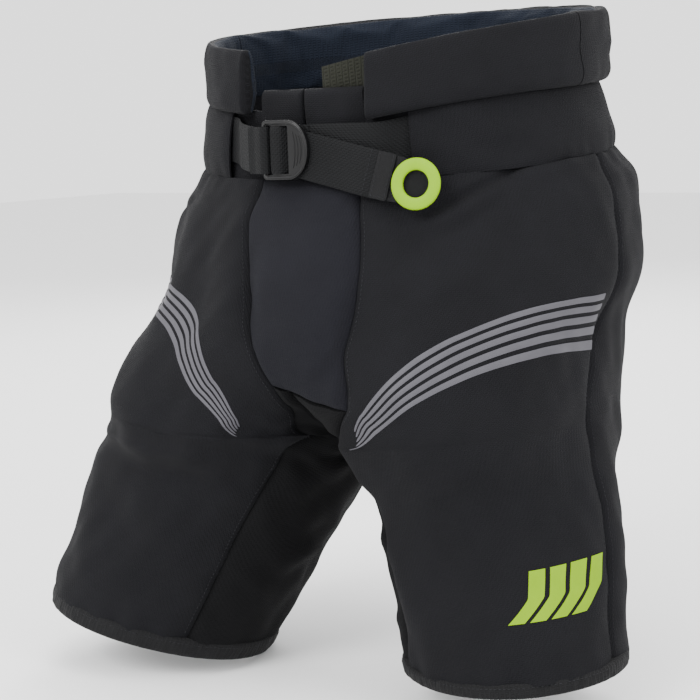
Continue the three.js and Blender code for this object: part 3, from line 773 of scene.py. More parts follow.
def makeLining(side):
    u, s = np.meshgrid(
        np.linspace(0.0005, 0.9995, lining["columns"]),
        np.linspace(lining["top"], lining["bottom"], lining["rows"]),
    )
    base = halfPoint(side, u, s, liningDepth(s))
    wave = 0.9 * ripple(base, 0.05, 31) * smooth(s, 1.3, 2) * (1 - smooth(s, 8, 8.6))
    face = outFace(side, u, s)
    outer = base - face * (np.maximum(wave, -0.8) / 1000 + 0.0008)[..., None]
    piece = shell(f"lining_{side}", outer, outer - face * (lining["thickness"] / 1000))
    dress(piece, liningCloth)
    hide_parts(f"body_lining_{side}", f"leg_lining_{side}")
    return bendToThigh(piece)


for side in sides:
    makeLining(side)
print("linings made")

# Tape behind the centre seams, where the two halves meet at the seat and the crotch.
seamTape = {"half": 0.009, "from": 2.2, "to": 5.2, "depth": 5.5, "thickness": 0.0012}


def makeSeamTape():
    x, s = np.meshgrid(np.linspace(-1, 1, 9), np.linspace(seamTape["from"], seamTape["to"], 80))
    ends = [halfPoint(side, np.ones_like(s), s, seamTape["depth"]) for side in sides]
    outer = (ends[0] + ends[1]) / 2
    outer[..., 0] = x * seamTape["half"]
    inner = outer - np.array([0, seamTape["thickness"], 0])
    piece = dress(shell("seat_seam_tape", outer, inner), innerCloth)
    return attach(piece, "pelvis")


makeSeamTape()


def loft(name, rings, closed=False, material=None, sharp=60, uvs=None):
    # rings: a grid of points whose second axis runs right round the section
    count, around = rings.shape[:2]
    rows = count if closed else count - 1
    r, c = np.meshgrid(np.arange(rows), np.arange(around), indexing="ij")
    r, c = r.ravel(), c.ravel()
    nextRow, nextColumn = (r + 1) % count, (c + 1) % around
    faces = np.stack(
        [r * around + c, r * around + nextColumn, nextRow * around + nextColumn, nextRow * around + c], -1
    ).tolist()
    if not closed:
        faces.append(list(range(around))[::-1])
        faces.append([(count - 1) * around + i for i in range(around)])
    points = rings.reshape(-1, 3)
    if uvs is None:
        along = arcs(rings, 0).mean(axis=1, keepdims=True) * np.ones((1, around))
        uvs = np.stack([along, arcs(rings, 1)], -1)
    mesh = bpy.data.meshes.new(name)
    mesh.from_pydata(points.tolist(), [], faces)
    layer = mesh.uv_layers.new(name="UVMap")
    loops = np.empty(len(mesh.loops), np.int32)
    mesh.loops.foreach_get("vertex_index", loops)
    layer.data.foreach_set("uv", uvs.reshape(-1, 2)[loops].astype(np.float32).ravel())
    work = bmesh.new()
    work.from_mesh(mesh)
    bmesh.ops.recalc_face_normals(work, faces=work.faces)
    work.to_mesh(mesh)
    work.free()
    mesh.shade_smooth()
    mesh.set_sharp_from_angle(angle=math.radians(sharp))
    piece = placed(name, mesh)
    if material:
        dress(piece, material)
    return piece


# Hem bindings: a tape folded round the lower edge of each leg.
binding = {"depths": (-1.5, 7.6), "rise": (8.815, 9.0), "around": 240, "section": 20, "pucker": 0.35}


def makeBinding(side):
    turn = np.linspace(0, 1, binding["around"], endpoint=False)
    round_ = np.linspace(0, 2 * math.pi, binding["section"], endpoint=False)
    u, a = np.meshgrid(turn, round_, indexing="ij")
    low, high = binding["depths"]
    depth = (low + high) / 2 + (high - low) / 2 * signedPower(np.cos(a), 0.5)
    top, bottom = binding["rise"]
    s = (top + bottom) / 2 + (bottom - top) / 2 * signedPower(np.sin(a), 0.6)
    base = halfPoint(side, u, s, depth)
    pucker = binding["pucker"] * ripple(base, 0.009, 41) * np.clip(-np.cos(a), 0, 1)
    rings = base + outFace(side, u, s) * (pucker / 1000)[..., None]
    piece = loft(f"hem_tape_{side}", rings, closed=True, material=bindingTape)
    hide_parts(f"hem_binding_{side}")
    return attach(piece, f"leg_{side}")


for side in sides:
    makeBinding(side)
print("hem tapes made")

# Collar: three foam-filled sections standing on the waist.
collar = {
    "outAt": 4, "halfWidth": 181, "halfDepth": 144, "bottom": 9, "pitch": 4, "front": 52, "back": 66,
    "squareness": 2.1, "dip": {"left": 22, "right": 12}, "reach": 0.4,
    "middle": 6.3, "half": 6.6, "cap": 0.004, "lip": 1.7, "endRound": 0.005,
    "parts": {"right": (-0.118, -0.471), "back": (-0.473, -1.527), "left": (0.471, 0.093)},
    "section": 44, "steps": {"right": 60, "back": 150, "left": 60},
}


def collarPoint(v, h, depth):
    v, h, depth = np.broadcast_arrays(*(np.asarray(x, float) for x in (v, h, depth)))
    turned = np.where(v > 1, v - 2, np.where(v < -1, v + 2, v))
    angle = math.pi * turned
    x = signedPower(np.sin(angle), 2 / collar["squareness"]) * (collar["halfWidth"] - depth)
    y = -signedPower(np.cos(angle), 2 / collar["squareness"]) * (collar["halfDepth"] - depth)
    back = (1 - np.cos(angle)) / 2
    height = collar["front"] + (collar["back"] - collar["front"]) * back
    dip = np.where(
        turned < 0, collar["dip"]["right"], collar["dip"]["left"]
    ) * np.clip(1 - np.abs(turned) / collar["reach"], 0, 1) ** 2
    tilt = math.radians(collar["pitch"])
    return np.stack(
        [collar["outAt"] + x, y * math.cos(tilt), collar["bottom"] + y * math.sin(tilt) + h * height - dip],
        -1,
    ) / 1000


def makeCollar(place):
    begin, end = collar["parts"][place]
    steps = collar["steps"][place]
    span = abs(end - begin)
    t = np.linspace(0, 1, steps + 1)
    t = np.concatenate(
        [np.linspace(0, 1, 7)[:-1] * t[1], t[1:-1], 1 - np.linspace(1, 0, 7)[1:] * t[1]]
    ) if steps else t
    v = begin + (end - begin) * t
    free = {"right": t, "left": 1 - t, "back": np.ones_like(t)}[place]
    nearEnd = free * span / collar["endRound"]
    shrink = np.where(nearEnd < 1, np.sqrt(np.clip(1 - (1 - nearEnd) ** 2, 0.02, 1)), 1)
    a = np.linspace(0, 2 * math.pi, collar["section"], endpoint=False)
    vv, aa = np.meshgrid(v, a, indexing="ij")
    k = shrink[:, None]
    h = 0.5 + (0.5 - 0.06 * (1 - k)) * signedPower(np.sin(aa), 0.55)
    lip = collar["lip"] * np.exp(-(((h - 0.12) / 0.16) ** 2)) * np.clip(-np.cos(aa) * 3, 0, 1)
    depth = collar["middle"] + collar["half"] * (0.25 + 0.75 * k) * signedPower(np.cos(aa), 0.6) - lip * k
    rings = collarPoint(vv, h, depth)
    soft = 1.1 * ripple(rings, 0.07, 51) + 0.4 * ripple(rings, 0.028, 53)
    flat = rings.copy()
    flat[..., 2] = 0
    rings = rings + unit(flat) * (soft / 1000 * np.sign(-np.cos(aa)) * np.abs(np.cos(aa)))[..., None]
    piece = loft(f"collar_{place}", rings)
    sewn = (h < 0.06) | (np.minimum(t, 1 - t)[:, None] * span < 0.002)
    held = np.ones(len(piece.data.vertices), bool)
    held[: sewn.size] = sewn.ravel()
    puffed(piece, held, collar["cap"])
    dress(piece, shellCloth, liningCloth)
    inside = [math.cos(a[i % collar["section"]]) > 0.25 for i in range(collar["section"])]
    polygons = piece.data.polygons
    for i, polygon in enumerate(polygons):
        if len(polygon.vertices) == 4 and inside[i % collar["section"]]:
            polygon.material_index = 1
    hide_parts(f"collar_cover_{place}", f"collar_foam_{place}", f"collar_lining_{place}")
    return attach(piece, "pelvis")


for place in collar["parts"]:
    makeCollar(place)
print("collar made")


def sectionAtHeight(v, z, depth):
    v, z, depth = np.broadcast_arrays(*(np.asarray(x, float) for x in (v, z, depth)))
    low, high = np.zeros(v.shape), np.full(v.shape, 2.0)
    for _ in range(30):
        middle = (low + high) / 2
        above = aroundPoint(v, middle, depth)[..., 2] > z
        low, high = np.where(above, middle, low), np.where(above, high, middle)
    return (low + high) / 2


# Tunnel that the belt runs in, the band behind it and the two halves of the fly.
waist = {
    "slot": 0.16, "bandFront": 0.09, "flyMiddle": -0.008, "flyTop": 0.03, "bottom": 1.17, "puff": 3.4,
    "tuck": 0.004,
}


def makeTunnel(side):
    sign = outward[side]
    c, r = np.meshgrid(np.linspace(0, 1, 150), np.linspace(0, 1, 28))
    v = sign * (waist["slot"] + (0.9995 - waist["slot"]) * c)
    top = sectionAtHeight(v, collarPoint(v, 0, 0)[..., 2] + waist["tuck"], 0)
    s = top + (waist["bottom"] - top) * r
    base = aroundPoint(v, s)
    puff = waist["puff"] * np.sin(math.pi * np.clip(r, 0, 1)) ** 0.8
    puff = puff - 1.8 * np.exp(-((1 - r) / 0.1)) - 2.4 * np.exp(-(r / 0.14))
    hemGather = 0.35 * np.exp(-(((r - 1) / 0.35) ** 2)) * ripple(base, 0.016, 63, (1, 1, 0.2))
    soft = 0.55 * ripple(base, 0.06, 61, (1, 1, 2)) + hemGather
    slotEdge = -1.6 * np.exp(-c / 0.008)
    face = outFace(side, np.abs(v), s)
    outer = base + face * ((puff + soft * smooth(c, 0, 0.03) + slotEdge) / 1000)[..., None]
    piece = dress(shell(f"belt_tunnel_cloth_{side}", outer, outer - face * 0.0016), shellCloth)
    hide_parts(f"belt_tunnel_{side}")
    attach(piece, "pelvis")
    v = sign * (waist["bandFront"] - 0.01 + (1.0095 - waist["bandFront"]) * c)
    top = sectionAtHeight(v, collarPoint(v, 0, 0)[..., 2] + 0.004, 7)
    s = top + (1.2 - top) * r
    base = aroundPoint(v, s, 7)
    face = outFace(side, np.abs(v), s)
    outer = base + face * (0.5 * ripple(base, 0.03, 65) / 1000)[..., None]
    band = dress(shell(f"waistband_cloth_{side}", outer, outer - face * 0.002), shellCloth)
    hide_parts(f"waistband_{side}")
    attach(band, "pelvis")
    c, r = np.meshgrid(spread(40), spread(30))
    v = waist["flyMiddle"] + sign * (0.0008 + (waist["bandFront"] - sign * waist["flyMiddle"]) * c)
    s = waist["flyTop"] + (1.2 - waist["flyTop"]) * r
    base = aroundPoint(v, s, 6.2)
    across, down = arcs(base, 1) * 1000, arcs(base, 0) * 1000
    drop = np.maximum(3.2 * np.exp(-across / 1.6), 3.6 * np.exp(-down / 2.2))
    crown = 1.6 * np.sin(math.pi * c) ** 0.7 * np.sin(math.pi * np.clip(r, 0, 1)) ** 0.5
    crown = crown + 0.6 * ripple(base, 0.03, 67)
    face = np.where((v < 0)[..., None], outFace("right", np.abs(v), s), outFace("left", np.abs(v), s))
    outer = base + face * ((crown - drop) / 1000)[..., None]
    inner = aroundPoint(v, s, 10.5)
    fly = dress(shell(f"fly_cloth_{side}", outer, inner), shellCloth)
    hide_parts(f"fly_{side}")
    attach(fly, "pelvis")


for side in sides:
    makeTunnel(side)
print("tunnel, waistband and fly made")

closure = {"across": (0.012, 0.14), "up": (0.44, 0.97), "depth": (19.6, 21.2)}


def makeClosure():
    c, r = np.meshgrid(spread(30), spread(18))
    v = closure["across"][0] + (closure["across"][1] - closure["across"][0]) * c
    h = closure["up"][1] - (closure["up"][1] - closure["up"][0]) * r
    base = collarPoint(v, h, closure["depth"][0])
    wave = 0.8 * ripple(base, 0.04, 71) / 1000
    outer = base + np.stack([0 * wave, wave, 0 * wave], -1)
    inner = outer + np.array([0, (closure["depth"][1] - closure["depth"][0]) / 1000, 0])
    piece = dress(shell("closure_flap", outer, inner), loopTape)
    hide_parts("closure_tab")
    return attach(piece, "pelvis")


makeClosure()

# Webbing: a flat woven ribbon along a path, with its own up and out directions.
ribbonMake = {"width": 38, "thickness": 1.7, "across": 14}


def ribbon(name, centre, up, out, material=None, width=None):
    w = (width or ribbonMake["width"]) / 2000
    a = np.linspace(-1, 1, ribbonMake["across"])
    thick = ribbonMake["thickness"] / 2000 * (1 - 0.75 * np.abs(a) ** 10)
    place = np.concatenate([a, a[::-1]])
    rise = np.concatenate([thick, -thick[::-1]])
    rings = centre[:, None] + up[:, None] * (place * w)[None, :, None] + out[:, None] * rise[None, :, None]
    length = np.concatenate([[0], np.cumsum(np.linalg.norm(np.diff(centre, axis=0), axis=1))])
    uvs = np.stack(np.broadcast_arrays(length[:, None], (place * w)[None, :]), -1)
    return loft(name, rings, material=material or webbingWeave, uvs=uvs)


def alongPath(points, count):
    # a smooth path with evenly spaced steps through a few points
    points = np.array(points, float)
    step = np.concatenate([[0], np.cumsum(np.sqrt(np.linalg.norm(np.diff(points, axis=0), axis=1)))])
    slope = np.gradient(points, step, axis=0)
    t = np.linspace(0, step[-1], count * 6)
    i = np.clip(np.searchsorted(step, t, side="right") - 1, 0, len(step) - 2)
    w = (step[i + 1] - step[i])[:, None]
    f = ((t - step[i]) / (step[i + 1] - step[i]))[:, None]
    fine = (2 * f**3 - 3 * f**2 + 1) * points[i] + (f**3 - 2 * f**2 + f) * w * slope[i]
    fine = fine + (3 * f**2 - 2 * f**3) * points[i + 1] + (f**3 - f**2) * w * slope[i + 1]
    run = np.concatenate([[0], np.cumsum(np.linalg.norm(np.diff(fine, axis=0), axis=1))])
    even = np.linspace(0, run[-1], count)
    return np.stack([np.interp(even, run, fine[:, k]) for k in range(3)], -1)


belt = {"depth": 2.9, "standing": -4.4, "below": 3, "right": -0.165, "left": 0.165, "front": 0.012}
buckle = {
    "at": (-0.011, -0.1462, -0.035), "halfWidth": 22.5, "halfHeight": 24, "depth": 4, "sideBar": 4,
    "centreBar": (-12, -4), "lipFrom": 4, "slots": (20.4, 19.8), "rim": 1.3, "round": 0.7,
}


def beltCentre(v):
    near = np.where(v < -1, v + 2, v)
    outside = 1 - smooth(np.abs(near), 0.105, waist["slot"] - 0.01)
    depth = belt["depth"] + (belt["standing"] - belt["depth"]) * outside
    under = collarPoint(near, 0, 0)[..., 2] * 1000 - ribbonMake["width"] / 2 - belt["below"]
    level = 1 - smooth(np.abs(near), 0.08, waist["slot"])
    z = under + (buckle["at"][2] * 1000 + 1 - under) * level
    s = sectionAtHeight(near, z / 1000, depth)
    middle = aroundPoint(near, s, depth)
    up = unit(aroundPoint(near, s - 0.3, depth) - aroundPoint(near, s + 0.3, depth))
    ahead = unit(np.gradient(middle, axis=0))
    return middle, up, ahead


def outOf(up, ahead, middle):
    out = unit(np.cross(up, ahead))
    flip = np.sign((out * middle * np.array([1, 1, 0])).sum(-1, keepdims=True))
    return out * flip


def makeBelt():
    v = np.linspace(belt["right"], belt["left"] - 2, 260)
    middle, up, ahead = beltCentre(v)
    run = ribbon("belt_run", middle, up, outOf(up, ahead, middle))
    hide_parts("belt_webbing")
    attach(run, "pelvis")
    v = np.linspace(belt["left"], belt["front"], 60)
    middle, up, ahead = beltCentre(v)
    standing = ribbon("standing_strap", middle, up, outOf(up, ahead, middle))
    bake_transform(standing)
    at = np.array(buckle["at"])
    flat = lambda x, z: at + np.array([x, -z, 0]) / 1000
    v = np.linspace(belt["right"], -0.112, 30)
    inSlot, upSlot, _ = beltCentre(v)
    loopPath = alongPath(
        [
            flat(*p) for p in (
                (-35, -1.4), (-27, -1.9), (-20.6, -2.8), (-17, -1.4), (-15.9, 2), (-17, 5.5), (-20.6, 6.9),
                (-25.6, 5.4), (-31, 2.9), (-38, 1.6),
            )
        ], 60
    )
    lead = alongPath(
        [inSlot[-1], (inSlot[-1] + loopPath[0]) / 2 + np.array([0, -0.0008, 0]), loopPath[0]], 12
    )
    path = np.concatenate([inSlot, lead[1:-1], loopPath])
    straight = np.tile(np.array([[0.0, 0, 1]]), (len(path), 1))
    ahead = unit(np.gradient(path, axis=0))
    up = unit(straight - (straight * ahead).sum(-1, keepdims=True) * ahead)
    up[: len(upSlot)] = unit(upSlot + (up[: len(upSlot)] - upSlot) * np.linspace(0, 1, len(upSlot))[:, None])
    fixed = ribbon("fixed_strap", path, up, unit(np.cross(up, ahead)))
    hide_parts("side_bar_loop")
    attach(fixed, "pelvis")
    end, _, _ = beltCentre(np.array([belt["front"], belt["front"] - 0.004]))
    turn = alongPath(
        [
            end[0], *(
                flat(*p) for p in (
                    (-6, -3.4), (-12.6, -2.4), (-14.3, 1.2), (-12.4, 5.0), (-8, 6.0), (-3.8, 5.0),
                    (-1.8, 2.2), (1.5, -0.6), (7, -1.3),
                )
            )
        ], 70
    )
    ahead = unit(np.gradient(turn, axis=0))
    straight = np.tile(np.array([[0.0, 0, 1]]), (len(turn), 1))
    up = unit(straight - (straight * ahead).sum(-1, keepdims=True) * ahead)
    over = ribbon("strap_turn", turn, up, unit(np.cross(up, ahead)))
    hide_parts("centre_bar_turn")
    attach(over, "buckle")


makeBelt()

tail = {"start": (-9.5, -144.8, -36), "bend": (48, -145.2, -50), "end": (84, -138.5, -58.5), "lean": 0.2}


def tailFrame(t):
    a, b, c = (np.array(tail[k]) / 1000 for k in ("start", "bend", "end"))
    t = np.asarray(t, float)[:, None]
    middle = (1 - t) ** 2 * a + 2 * t * (1 - t) * b + t * t * c
    ahead = unit(2 * (1 - t) * (b - a) + 2 * t * (c - b))
    slope = math.atan2(c[2] - a[2], c[0] - a[0])
    up = unit(
        np.concatenate(
            [np.full_like(t, -math.sin(slope)), tail["lean"] * t, np.full_like(t, math.cos(slope))], -1
        )
    )
    return middle, up, ahead, unit(np.cross(up, ahead)) * -1


def makeTail():
    t = np.linspace(0, 1, 90)
    middle, up, ahead, out = tailFrame(t)
    out = np.where(out[:, 1:2] > 0, -out, out)
    wave = 0.0011 * np.sin(9.5 * t + 0.6) * np.sin(math.pi * t)
    middle = middle + out * wave[:, None]
    strap = ribbon("tail_strap", middle, up, out)
    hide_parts("belt_tail")
    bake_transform(strap)
    return middle, up, ahead, out


tailLine = makeTail()
print("belt made")


def curvePiece(name, outlines, depth, round_, place, material):
    # a flat outline with holes, given thickness and rounded edges, in the plane of place
    data = bpy.data.curves.new(name, "CURVE")
    data.dimensions, data.fill_mode = "2D", "BOTH"
    data.extrude, data.bevel_depth, data.bevel_resolution = depth / 2000 - round_ / 1000, round_ / 1000, 3
    for outline in outlines:
        spline = data.splines.new("POLY")
        spline.points.add(len(outline) - 1)
        for point, (x, y) in zip(spline.points, outline):
            point.co = (x / 1000, y / 1000, 0, 1)
        spline.use_cyclic_u = True
    shape = placed(name + "_outline", data)
    mesh = bpy.data.meshes.new_from_object(shape.evaluated_get(bpy.context.evaluated_depsgraph_get()))
    bpy.data.objects.remove(shape)
    mesh.transform(Matrix.Translation((0, 0, 0)))
    mesh.transform(place)
    work = bmesh.new()
    work.from_mesh(mesh)
    bmesh.ops.remove_doubles(work, verts=work.verts, dist=0.00002)
    bmesh.ops.recalc_face_normals(work, faces=work.faces)
    work.to_mesh(mesh)
    work.free()
    mesh.name = name
    mesh.shade_smooth()
    mesh.set_sharp_from_angle(angle=math.radians(40))
    piece = placed(name, mesh)
    return dress(piece, material)


def roundedBox(left, right, low, high, corner, steps=6):
    points = []
    for x, y, begin in (
        (right - corner, low + corner, -90), (right - corner, high - corner, 0),
        (left + corner, high - corner, 90), (left + corner, low + corner, 180),
    ):
        for k in range(steps + 1):
            a = math.radians(begin + 90 * k / steps)
            points.append((x + corner * math.cos(a), y + corner * math.sin(a)))
    return points


def buckleOutline(inset=0.0):
    w, h = buckle["halfWidth"] - inset, buckle["halfHeight"] - inset
    corner = 3
    points = []
    for p0, p1, p2, p3 in (((2, -h), (14, -h), (w, -13), (w, 0)), ((w, 0), (w, 13), (14, h), (2, h))):
        for k in range(24):
            t = k / 24
            shares = (1 - t) ** 3, 3 * t * (1 - t) ** 2, 3 * t * t * (1 - t), t**3
            corners = zip(p0, p1, p2, p3)
            points.append(tuple(sum(share * at for share, at in zip(shares, row)) for row in corners))
    points.append((2, h))
    for x, y, begin in ((-w + corner, h - corner, 90), (-w + corner, -h + corner, 180)):
        for k in range(7):
            a = math.radians(begin + 90 * k / 6)
            points.append((x + corner * math.cos(a), y + corner * math.sin(a)))
    return points


def tubeAlong(name, line, radius, material, closed=True, section=12, flatten=1.0, normal=(0, -1, 0)):
    line = np.array(line, float)
    ahead = unit(
        np.roll(line, -1, axis=0) - np.roll(line, 1, axis=0)
    ) if closed else unit(np.gradient(line, axis=0))
    n = np.array(normal, float)
    side = unit(np.cross(ahead, n))
    a = np.linspace(0, 2 * math.pi, section, endpoint=False)
    rings = line[:, None] + radius * (
        side[:, None] * np.cos(a)[None, :, None] + n[None, None] * (flatten * np.sin(a))[None, :, None]
    )
    return loft(name, rings, closed=closed, material=material)


def makeBuckle():
    at = Vector(buckle["at"])
    place = Matrix(
        ((1, 0, 0, at.x), (0, 0, -1, at.y - buckle["depth"] / 2000), (0, 1, 0, at.z), (0, 0, 0, 1))
    )
    w = buckle["halfWidth"]
    first, second = buckle["slots"]
    slots = [
        roundedBox(-w + buckle["sideBar"], buckle["centreBar"][0], -first, first, 1.8)[::-1],
        roundedBox(buckle["centreBar"][1], buckle["lipFrom"], -second, second, 1.8)[::-1],
    ]
    frameOfIt = curvePiece(
        "buckle_body", [buckleOutline(buckle["round"]), *slots], buckle["depth"], buckle["round"], place,
        bucklePlastic,
    )
    rimLine = [
        at + Vector((x / 1000, -(buckle["depth"] - 0.3) / 1000, y / 1000)) for x, y in buckleOutline(2.2)
    ]
    rim = tubeAlong("buckle_rim", rimLine, buckle["rim"] / 1000, bucklePlastic, flatten=0.8)
    grips = []
    for k in range(4):
        x = 8.2 + 3.1 * k
        reach = 14.5 - 1.9 * k
        line = [
            at + Vector(
                (x / 1000 + 0.0022 * (1 - (z / reach) ** 2), -(buckle["depth"] + 0.05) / 1000, z / 1000)
            ) for z in np.linspace(-reach, reach, 24)
        ]
        grips.append(tubeAlong(f"buckle_grip_{k + 1}", line, 0.00055, bucklePlastic, closed=False, section=8))
    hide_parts("buckle_frame")
    for piece in (frameOfIt, rim, *grips):
        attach(piece, "buckle")


makeBuckle()
print("buckle made")

# Pull tab and ring on the end of the tail.
pull = {"ringAt": 22.5, "inner": 10.6, "outer": 20.4, "thickness": 4.6, "tab": 2.0}


def pullPlace():
    middle, up, ahead, out = (k[-1] for k in tailFrame(np.array([0.99, 1.0])))
    out = np.cross(ahead, up)
    out = out / np.linalg.norm(out)
    if out[1] > 0:
        out = -out
    up = np.cross(out, ahead)
    place = Matrix(np.stack([ahead, up, out], -1).tolist()).to_4x4()
    place.translation = Vector(middle)
    return place


def makePull():
    place = pullPlace()
    outline = [(1.2, -17.4), (8, -17.2)]
    for k in range(25):
        a = math.radians(-115 + 230 * k / 24)
        outline.append((pull["ringAt"] + 15.2 * math.cos(a), 15.2 * math.sin(a)))
    outline += [(8, 17.2), (1.2, 17.4)]
    tab = curvePiece(
        "pull_tab_cloth", [outline], pull["tab"], 0.5, place @ Matrix.Translation((0, 0, -0.0006)), tabCloth
    )
    patch = curvePiece(
        "pull_patch", [roundedBox(-14, 0.4, -18.2, 18.2, 1.6)], 1.5, 0.4,
        place @ Matrix.Translation((0, 0, 0.0016)), tabCloth,
    )
    steps, section = 72, 20
    a = np.linspace(0, 2 * math.pi, steps, endpoint=False)
    b = np.linspace(0, 2 * math.pi, section, endpoint=False)
    middle, half = (pull["inner"] + pull["outer"]) / 2, (pull["outer"] - pull["inner"]) / 2
    aa, bb = np.meshgrid(a, b, indexing="ij")
    r = middle + half * signedPower(np.cos(bb), 0.62)
    z = 0.8 + pull["thickness"] / 2 + pull["thickness"] / 2 * signedPower(np.sin(bb), 0.75)
    rings = np.stack([pull["ringAt"] + r * np.cos(aa), r * np.sin(aa), z], -1) / 1000
    m = np.array(place)
    rings = rings @ m[:3, :3].T + m[:3, 3]
    ring = loft("pull_ring_moulded", rings, closed=True, material=limeRubber)
    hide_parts("pull_tab")
    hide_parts("pull_ring")
    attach(patch, "tail")
    for piece in (tab, ring):
        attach(piece, "pull")


makePull()
print("pull ring made")

# Stripes: thin film strips bonded to the outer cloth.
stripes = {
    "count": 5, "share": 0.62, "lift": 0.55, "under": -0.1, "steps": 120, "across": 5,
    "left": {
        "top": [(0.16, 4.95), (0.155, 4.55), (0.18, 4.15), (0.236, 3.74), (0.33, 3.38), (0.468, 3.38)],
        "bottom": [(0.196, 5.5), (0.206, 4.98), (0.232, 4.62), (0.295, 4.38), (0.395, 4.28), (0.49, 4.36)],
    },
    "right": {
        "top": [(0.126, 5.1), (0.1, 4.6), (0.112, 4.05), (0.15, 3.4), (0.25, 3.08), (0.44, 3.1)],
        "bottom": [(0.164, 5.4), (0.144, 4.85), (0.164, 4.3), (0.205, 3.88), (0.3, 3.74), (0.46, 3.86)],
    },
}


def evenCurve(pairs, t):
    points = np.array(pairs, float)
    slope = np.zeros_like(points)
    slope[1:-1] = (points[2:] - points[:-2]) / 2
    slope[0], slope[-1] = points[1] - points[0], points[-1] - points[-2]
    x = np.asarray(t) * (len(points) - 1)
    i = np.clip(x.astype(int), 0, len(points) - 2)
    f = (x - i)[..., None]
    value = (2 * f**3 - 3 * f**2 + 1) * points[i] + (f**3 - 2 * f**2 + f) * slope[i]
    return value + (3 * f**2 - 2 * f**3) * points[i + 1] + (f**3 - f**2) * slope[i + 1]


def makeStripe(side, k):
    t, r = np.meshgrid(np.linspace(0, 1, stripes["steps"]), np.linspace(-0.5, 0.5, stripes["across"]))
    end = np.sqrt(np.clip(1 - (1 - np.clip(t / 0.02, 0, 1)) ** 2, 0.05, 1))
    share = (k + 0.5 + r * stripes["share"] * end) / stripes["count"]
    low = share[..., None]
    place = evenCurve(stripes[side]["top"], t) * (1 - low) + evenCurve(stripes[side]["bottom"], t) * low
    u, s = place[..., 0], place[..., 1]
    edge = 0.25 * (1 - (2 * np.abs(r)) ** 4)
    piece = shell(
        f"stripe_film_{side}_{k + 1}", clothPoint(side, u, s, stripes["lift"] + edge - 0.25),
        clothPoint(side, u, s, stripes["under"]),
    )
    dress(piece, stripeFilm)
    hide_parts(f"stripe_{side}_{k + 1}")
    return bendToThigh(piece)


for side in sides:
    for k in range(stripes["count"]):
        makeStripe(side, k)
print("stripes made")

# A plain lime emblem on the left thigh: four slanted open chevrons.
emblem = {"middle": (0.409, 7.85), "half": (0.058, 0.235), "lean": 0.02, "lift": 0.5}


def emblemPiece(name, outline, steps=26):
    # outline: left and right edges as shares of the half width, against the height share
    c, r = np.meshgrid(np.linspace(0, 1, steps), np.linspace(-1, 1, steps))
    left, right = outline(r)
    x = left + (right - left) * c
    u = emblem["middle"][0] + emblem["half"][0] * x - emblem["lean"] * r
    s = emblem["middle"][1] + emblem["half"][1] * r
    return shell(name, clothPoint("left", u, s, emblem["lift"]), clothPoint("left", u, s, -0.1))


def makeEmblem():
    chevrons = []
    for k, (left, right) in enumerate(((-1.0, -0.62), (-0.5, -0.12), (0.0, 0.38), (0.5, 0.88))):
        point = lambda r, left=left, right=right: (
            left + 0.2 * (1 - np.abs(r)), right + 0.2 * (1 - np.abs(r))
        )
        chevrons.append(emblemPiece(f"emblem_chevron_{k + 1}", point))
    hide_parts("thigh_badge")
    for piece in chevrons:
        dress(piece, limeInk)
        bendToThigh(piece)


makeEmblem()

# Sewing: short stitches set along a line by Geometry Nodes.
sewing = {"stitch": 0.0026, "step": 0.0036, "thread": 0.00055}


def stitchTree():
    tree = bpy.data.node_groups.new("stitches", "GeometryNodeTree")
    tree.interface.new_socket(name="Geometry", in_out="INPUT", socket_type="NodeSocketGeometry")
    for name in ("Stitch", "Step", "Thread"):
        tree.interface.new_socket(name=name, in_out="INPUT", socket_type="NodeSocketFloat")
    tree.interface.new_socket(name="Material", in_out="INPUT", socket_type="NodeSocketMaterial")
    tree.interface.new_socket(name="Geometry", in_out="OUTPUT", socket_type="NodeSocketGeometry")
    add = tree.nodes.new
    inside, outside = add("NodeGroupInput"), add("NodeGroupOutput")
    toCurve, resample = add("GeometryNodeMeshToCurve"), add("GeometryNodeResampleCurve")
    place = add("GeometryNodeInstanceOnPoints")
    resample.mode = "LENGTH"
    bead, shape = add("GeometryNodeMeshUVSphere"), add("GeometryNodeTransform")
    size = add("ShaderNodeCombineXYZ")
    bead.inputs["Segments"].default_value, bead.inputs["Rings"].default_value = 6, 4
    bead.inputs["Radius"].default_value = 0.5
    tangent, align = add("GeometryNodeInputTangent"), add("FunctionNodeAlignRotationToVector")
    real, paint = add("GeometryNodeRealizeInstances"), add("GeometryNodeSetMaterial")
    link = tree.links.new
    link(inside.outputs["Geometry"], toCurve.inputs["Mesh"])
    link(toCurve.outputs["Curve"], resample.inputs["Curve"])
    link(inside.outputs["Step"], resample.inputs["Length"])
    link(resample.outputs["Curve"], place.inputs["Points"])
    link(inside.outputs["Stitch"], size.inputs["X"])
    link(inside.outputs["Thread"], size.inputs["Y"])
    link(inside.outputs["Thread"], size.inputs["Z"])
    link(bead.outputs["Mesh"], shape.inputs["Geometry"])
    link(size.outputs["Vector"], shape.inputs["Scale"])
    link(shape.outputs["Geometry"], place.inputs["Instance"])
    link(tangent.outputs["Tangent"], align.inputs["Vector"])
    align.axis = "X"
    link(align.outputs["Rotation"], place.inputs["Rotation"])
    link(place.outputs["Instances"], real.inputs["Geometry"])
    link(real.outputs["Geometry"], paint.inputs["Geometry"])
    link(inside.outputs["Material"], paint.inputs["Material"])
    link(paint.outputs["Geometry"], outside.inputs["Geometry"])
    return tree


stitches = stitchTree()


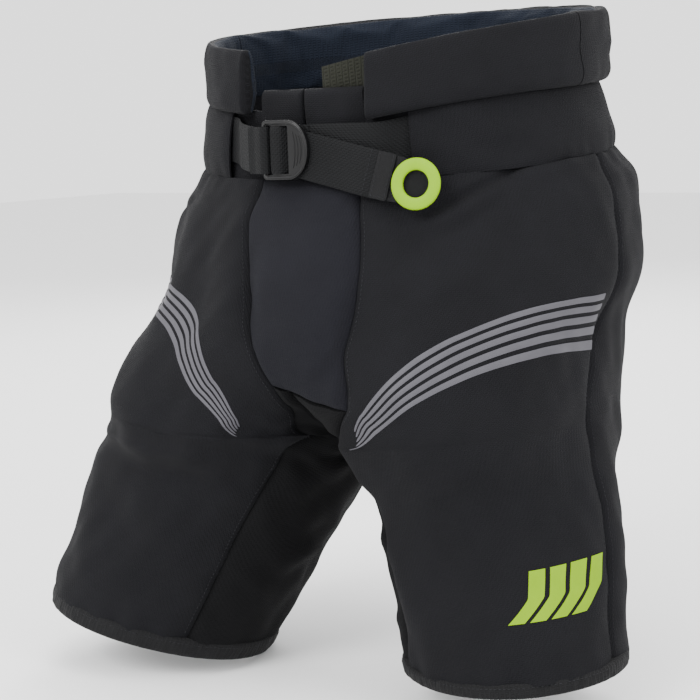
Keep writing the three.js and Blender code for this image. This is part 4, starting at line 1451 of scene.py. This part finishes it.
def sew(name, lines):
    points, edges = [], []
    for line in lines:
        start = len(points)
        points += [tuple(p) for p in line]
        edges += [(start + i, start + i + 1) for i in range(len(line) - 1)]
    mesh = bpy.data.meshes.new(name)
    mesh.from_pydata(points, edges, [])
    guide = placed(name + "_guide", mesh)
    modifier = guide.modifiers.new("stitches", "NODES")
    modifier.node_group = stitches
    values = {
        "Stitch": sewing["stitch"], "Step": sewing["step"], "Thread": sewing["thread"],
        "Material": threadCotton,
    }
    for item in stitches.interface.items_tree:
        if item.in_out == "INPUT" and item.name in values:
            modifier[item.identifier] = values[item.name]
    bpy.context.view_layer.update()
    result = bpy.data.meshes.new_from_object(guide.evaluated_get(bpy.context.evaluated_depsgraph_get()))
    bpy.data.objects.remove(guide)
    result.name = name
    result.shade_smooth()
    return placed(name, result)


def seamLine(side, edge, offset, top, bottom, count=260, lift=0.25):
    # a line beside a seam, offset in millimetres towards larger shares
    s = np.linspace(top, bottom, count)
    u = edge(s)
    perShare = np.linalg.norm(
        halfPoint(side, u + 0.01, s) - halfPoint(side, u - 0.01, s), axis=-1
    ) / 0.02 * 1000
    fall = sewnEdge(abs(offset))
    return clothPoint(side, u + offset / perShare, s, lift - fall)


def makeSewing():
    for side in sides:
        sideSeam = lambda s: np.full_like(s, seams["side"])
        lines = [
            seamLine(side, frontSeam(side), 4.5, 1.25, 8.75),
            seamLine(side, sideSeam, 4.5, 1.25, 8.75),
            seamLine(side, sideSeam, -4.5, 1.25, 8.75),
            seamLine(side, backSeam, -4.5, 1.25, 8.75),
        ]
        piece = sew(f"seam_stitches_{side}", lines)
        bendToThigh(piece)
        u = np.linspace(0, 1, 420)
        piece = sew(f"hem_stitches_{side}", [halfPoint(side, u, np.full_like(u, 8.86), -1.55)])
        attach(piece, f"leg_{side}")
    middle, up, _, out = tailLine
    rows = []
    for i in (66, 86):
        rows.append([middle[i] + up[i] * k + out[i] * 0.001 for k in np.linspace(-0.0175, 0.0175, 24)])
    piece = sew("tail_stitches", rows)
    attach(piece, "tail")
    place = np.array(pullPlace())
    box = [(-12.5, -16.6), (-1.1, -16.6), (-1.1, 16.6), (-12.5, 16.6), (-12.5, -16.6)]
    line = []
    for (x0, y0), (x1, y1) in zip(box, box[1:]):
        line += [
            place[:3, :3] @ np.array(
                [x0 + (x1 - x0) * t, y0 + (y1 - y0) * t, 2.5]
            ) / 1000 + place[:3, 3] for t in np.linspace(0, 1, 20)[:-1]
        ]
    piece = sew("patch_stitches", [line + line[:1]])
    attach(piece, "tail")


makeSewing()
print("sewing made")
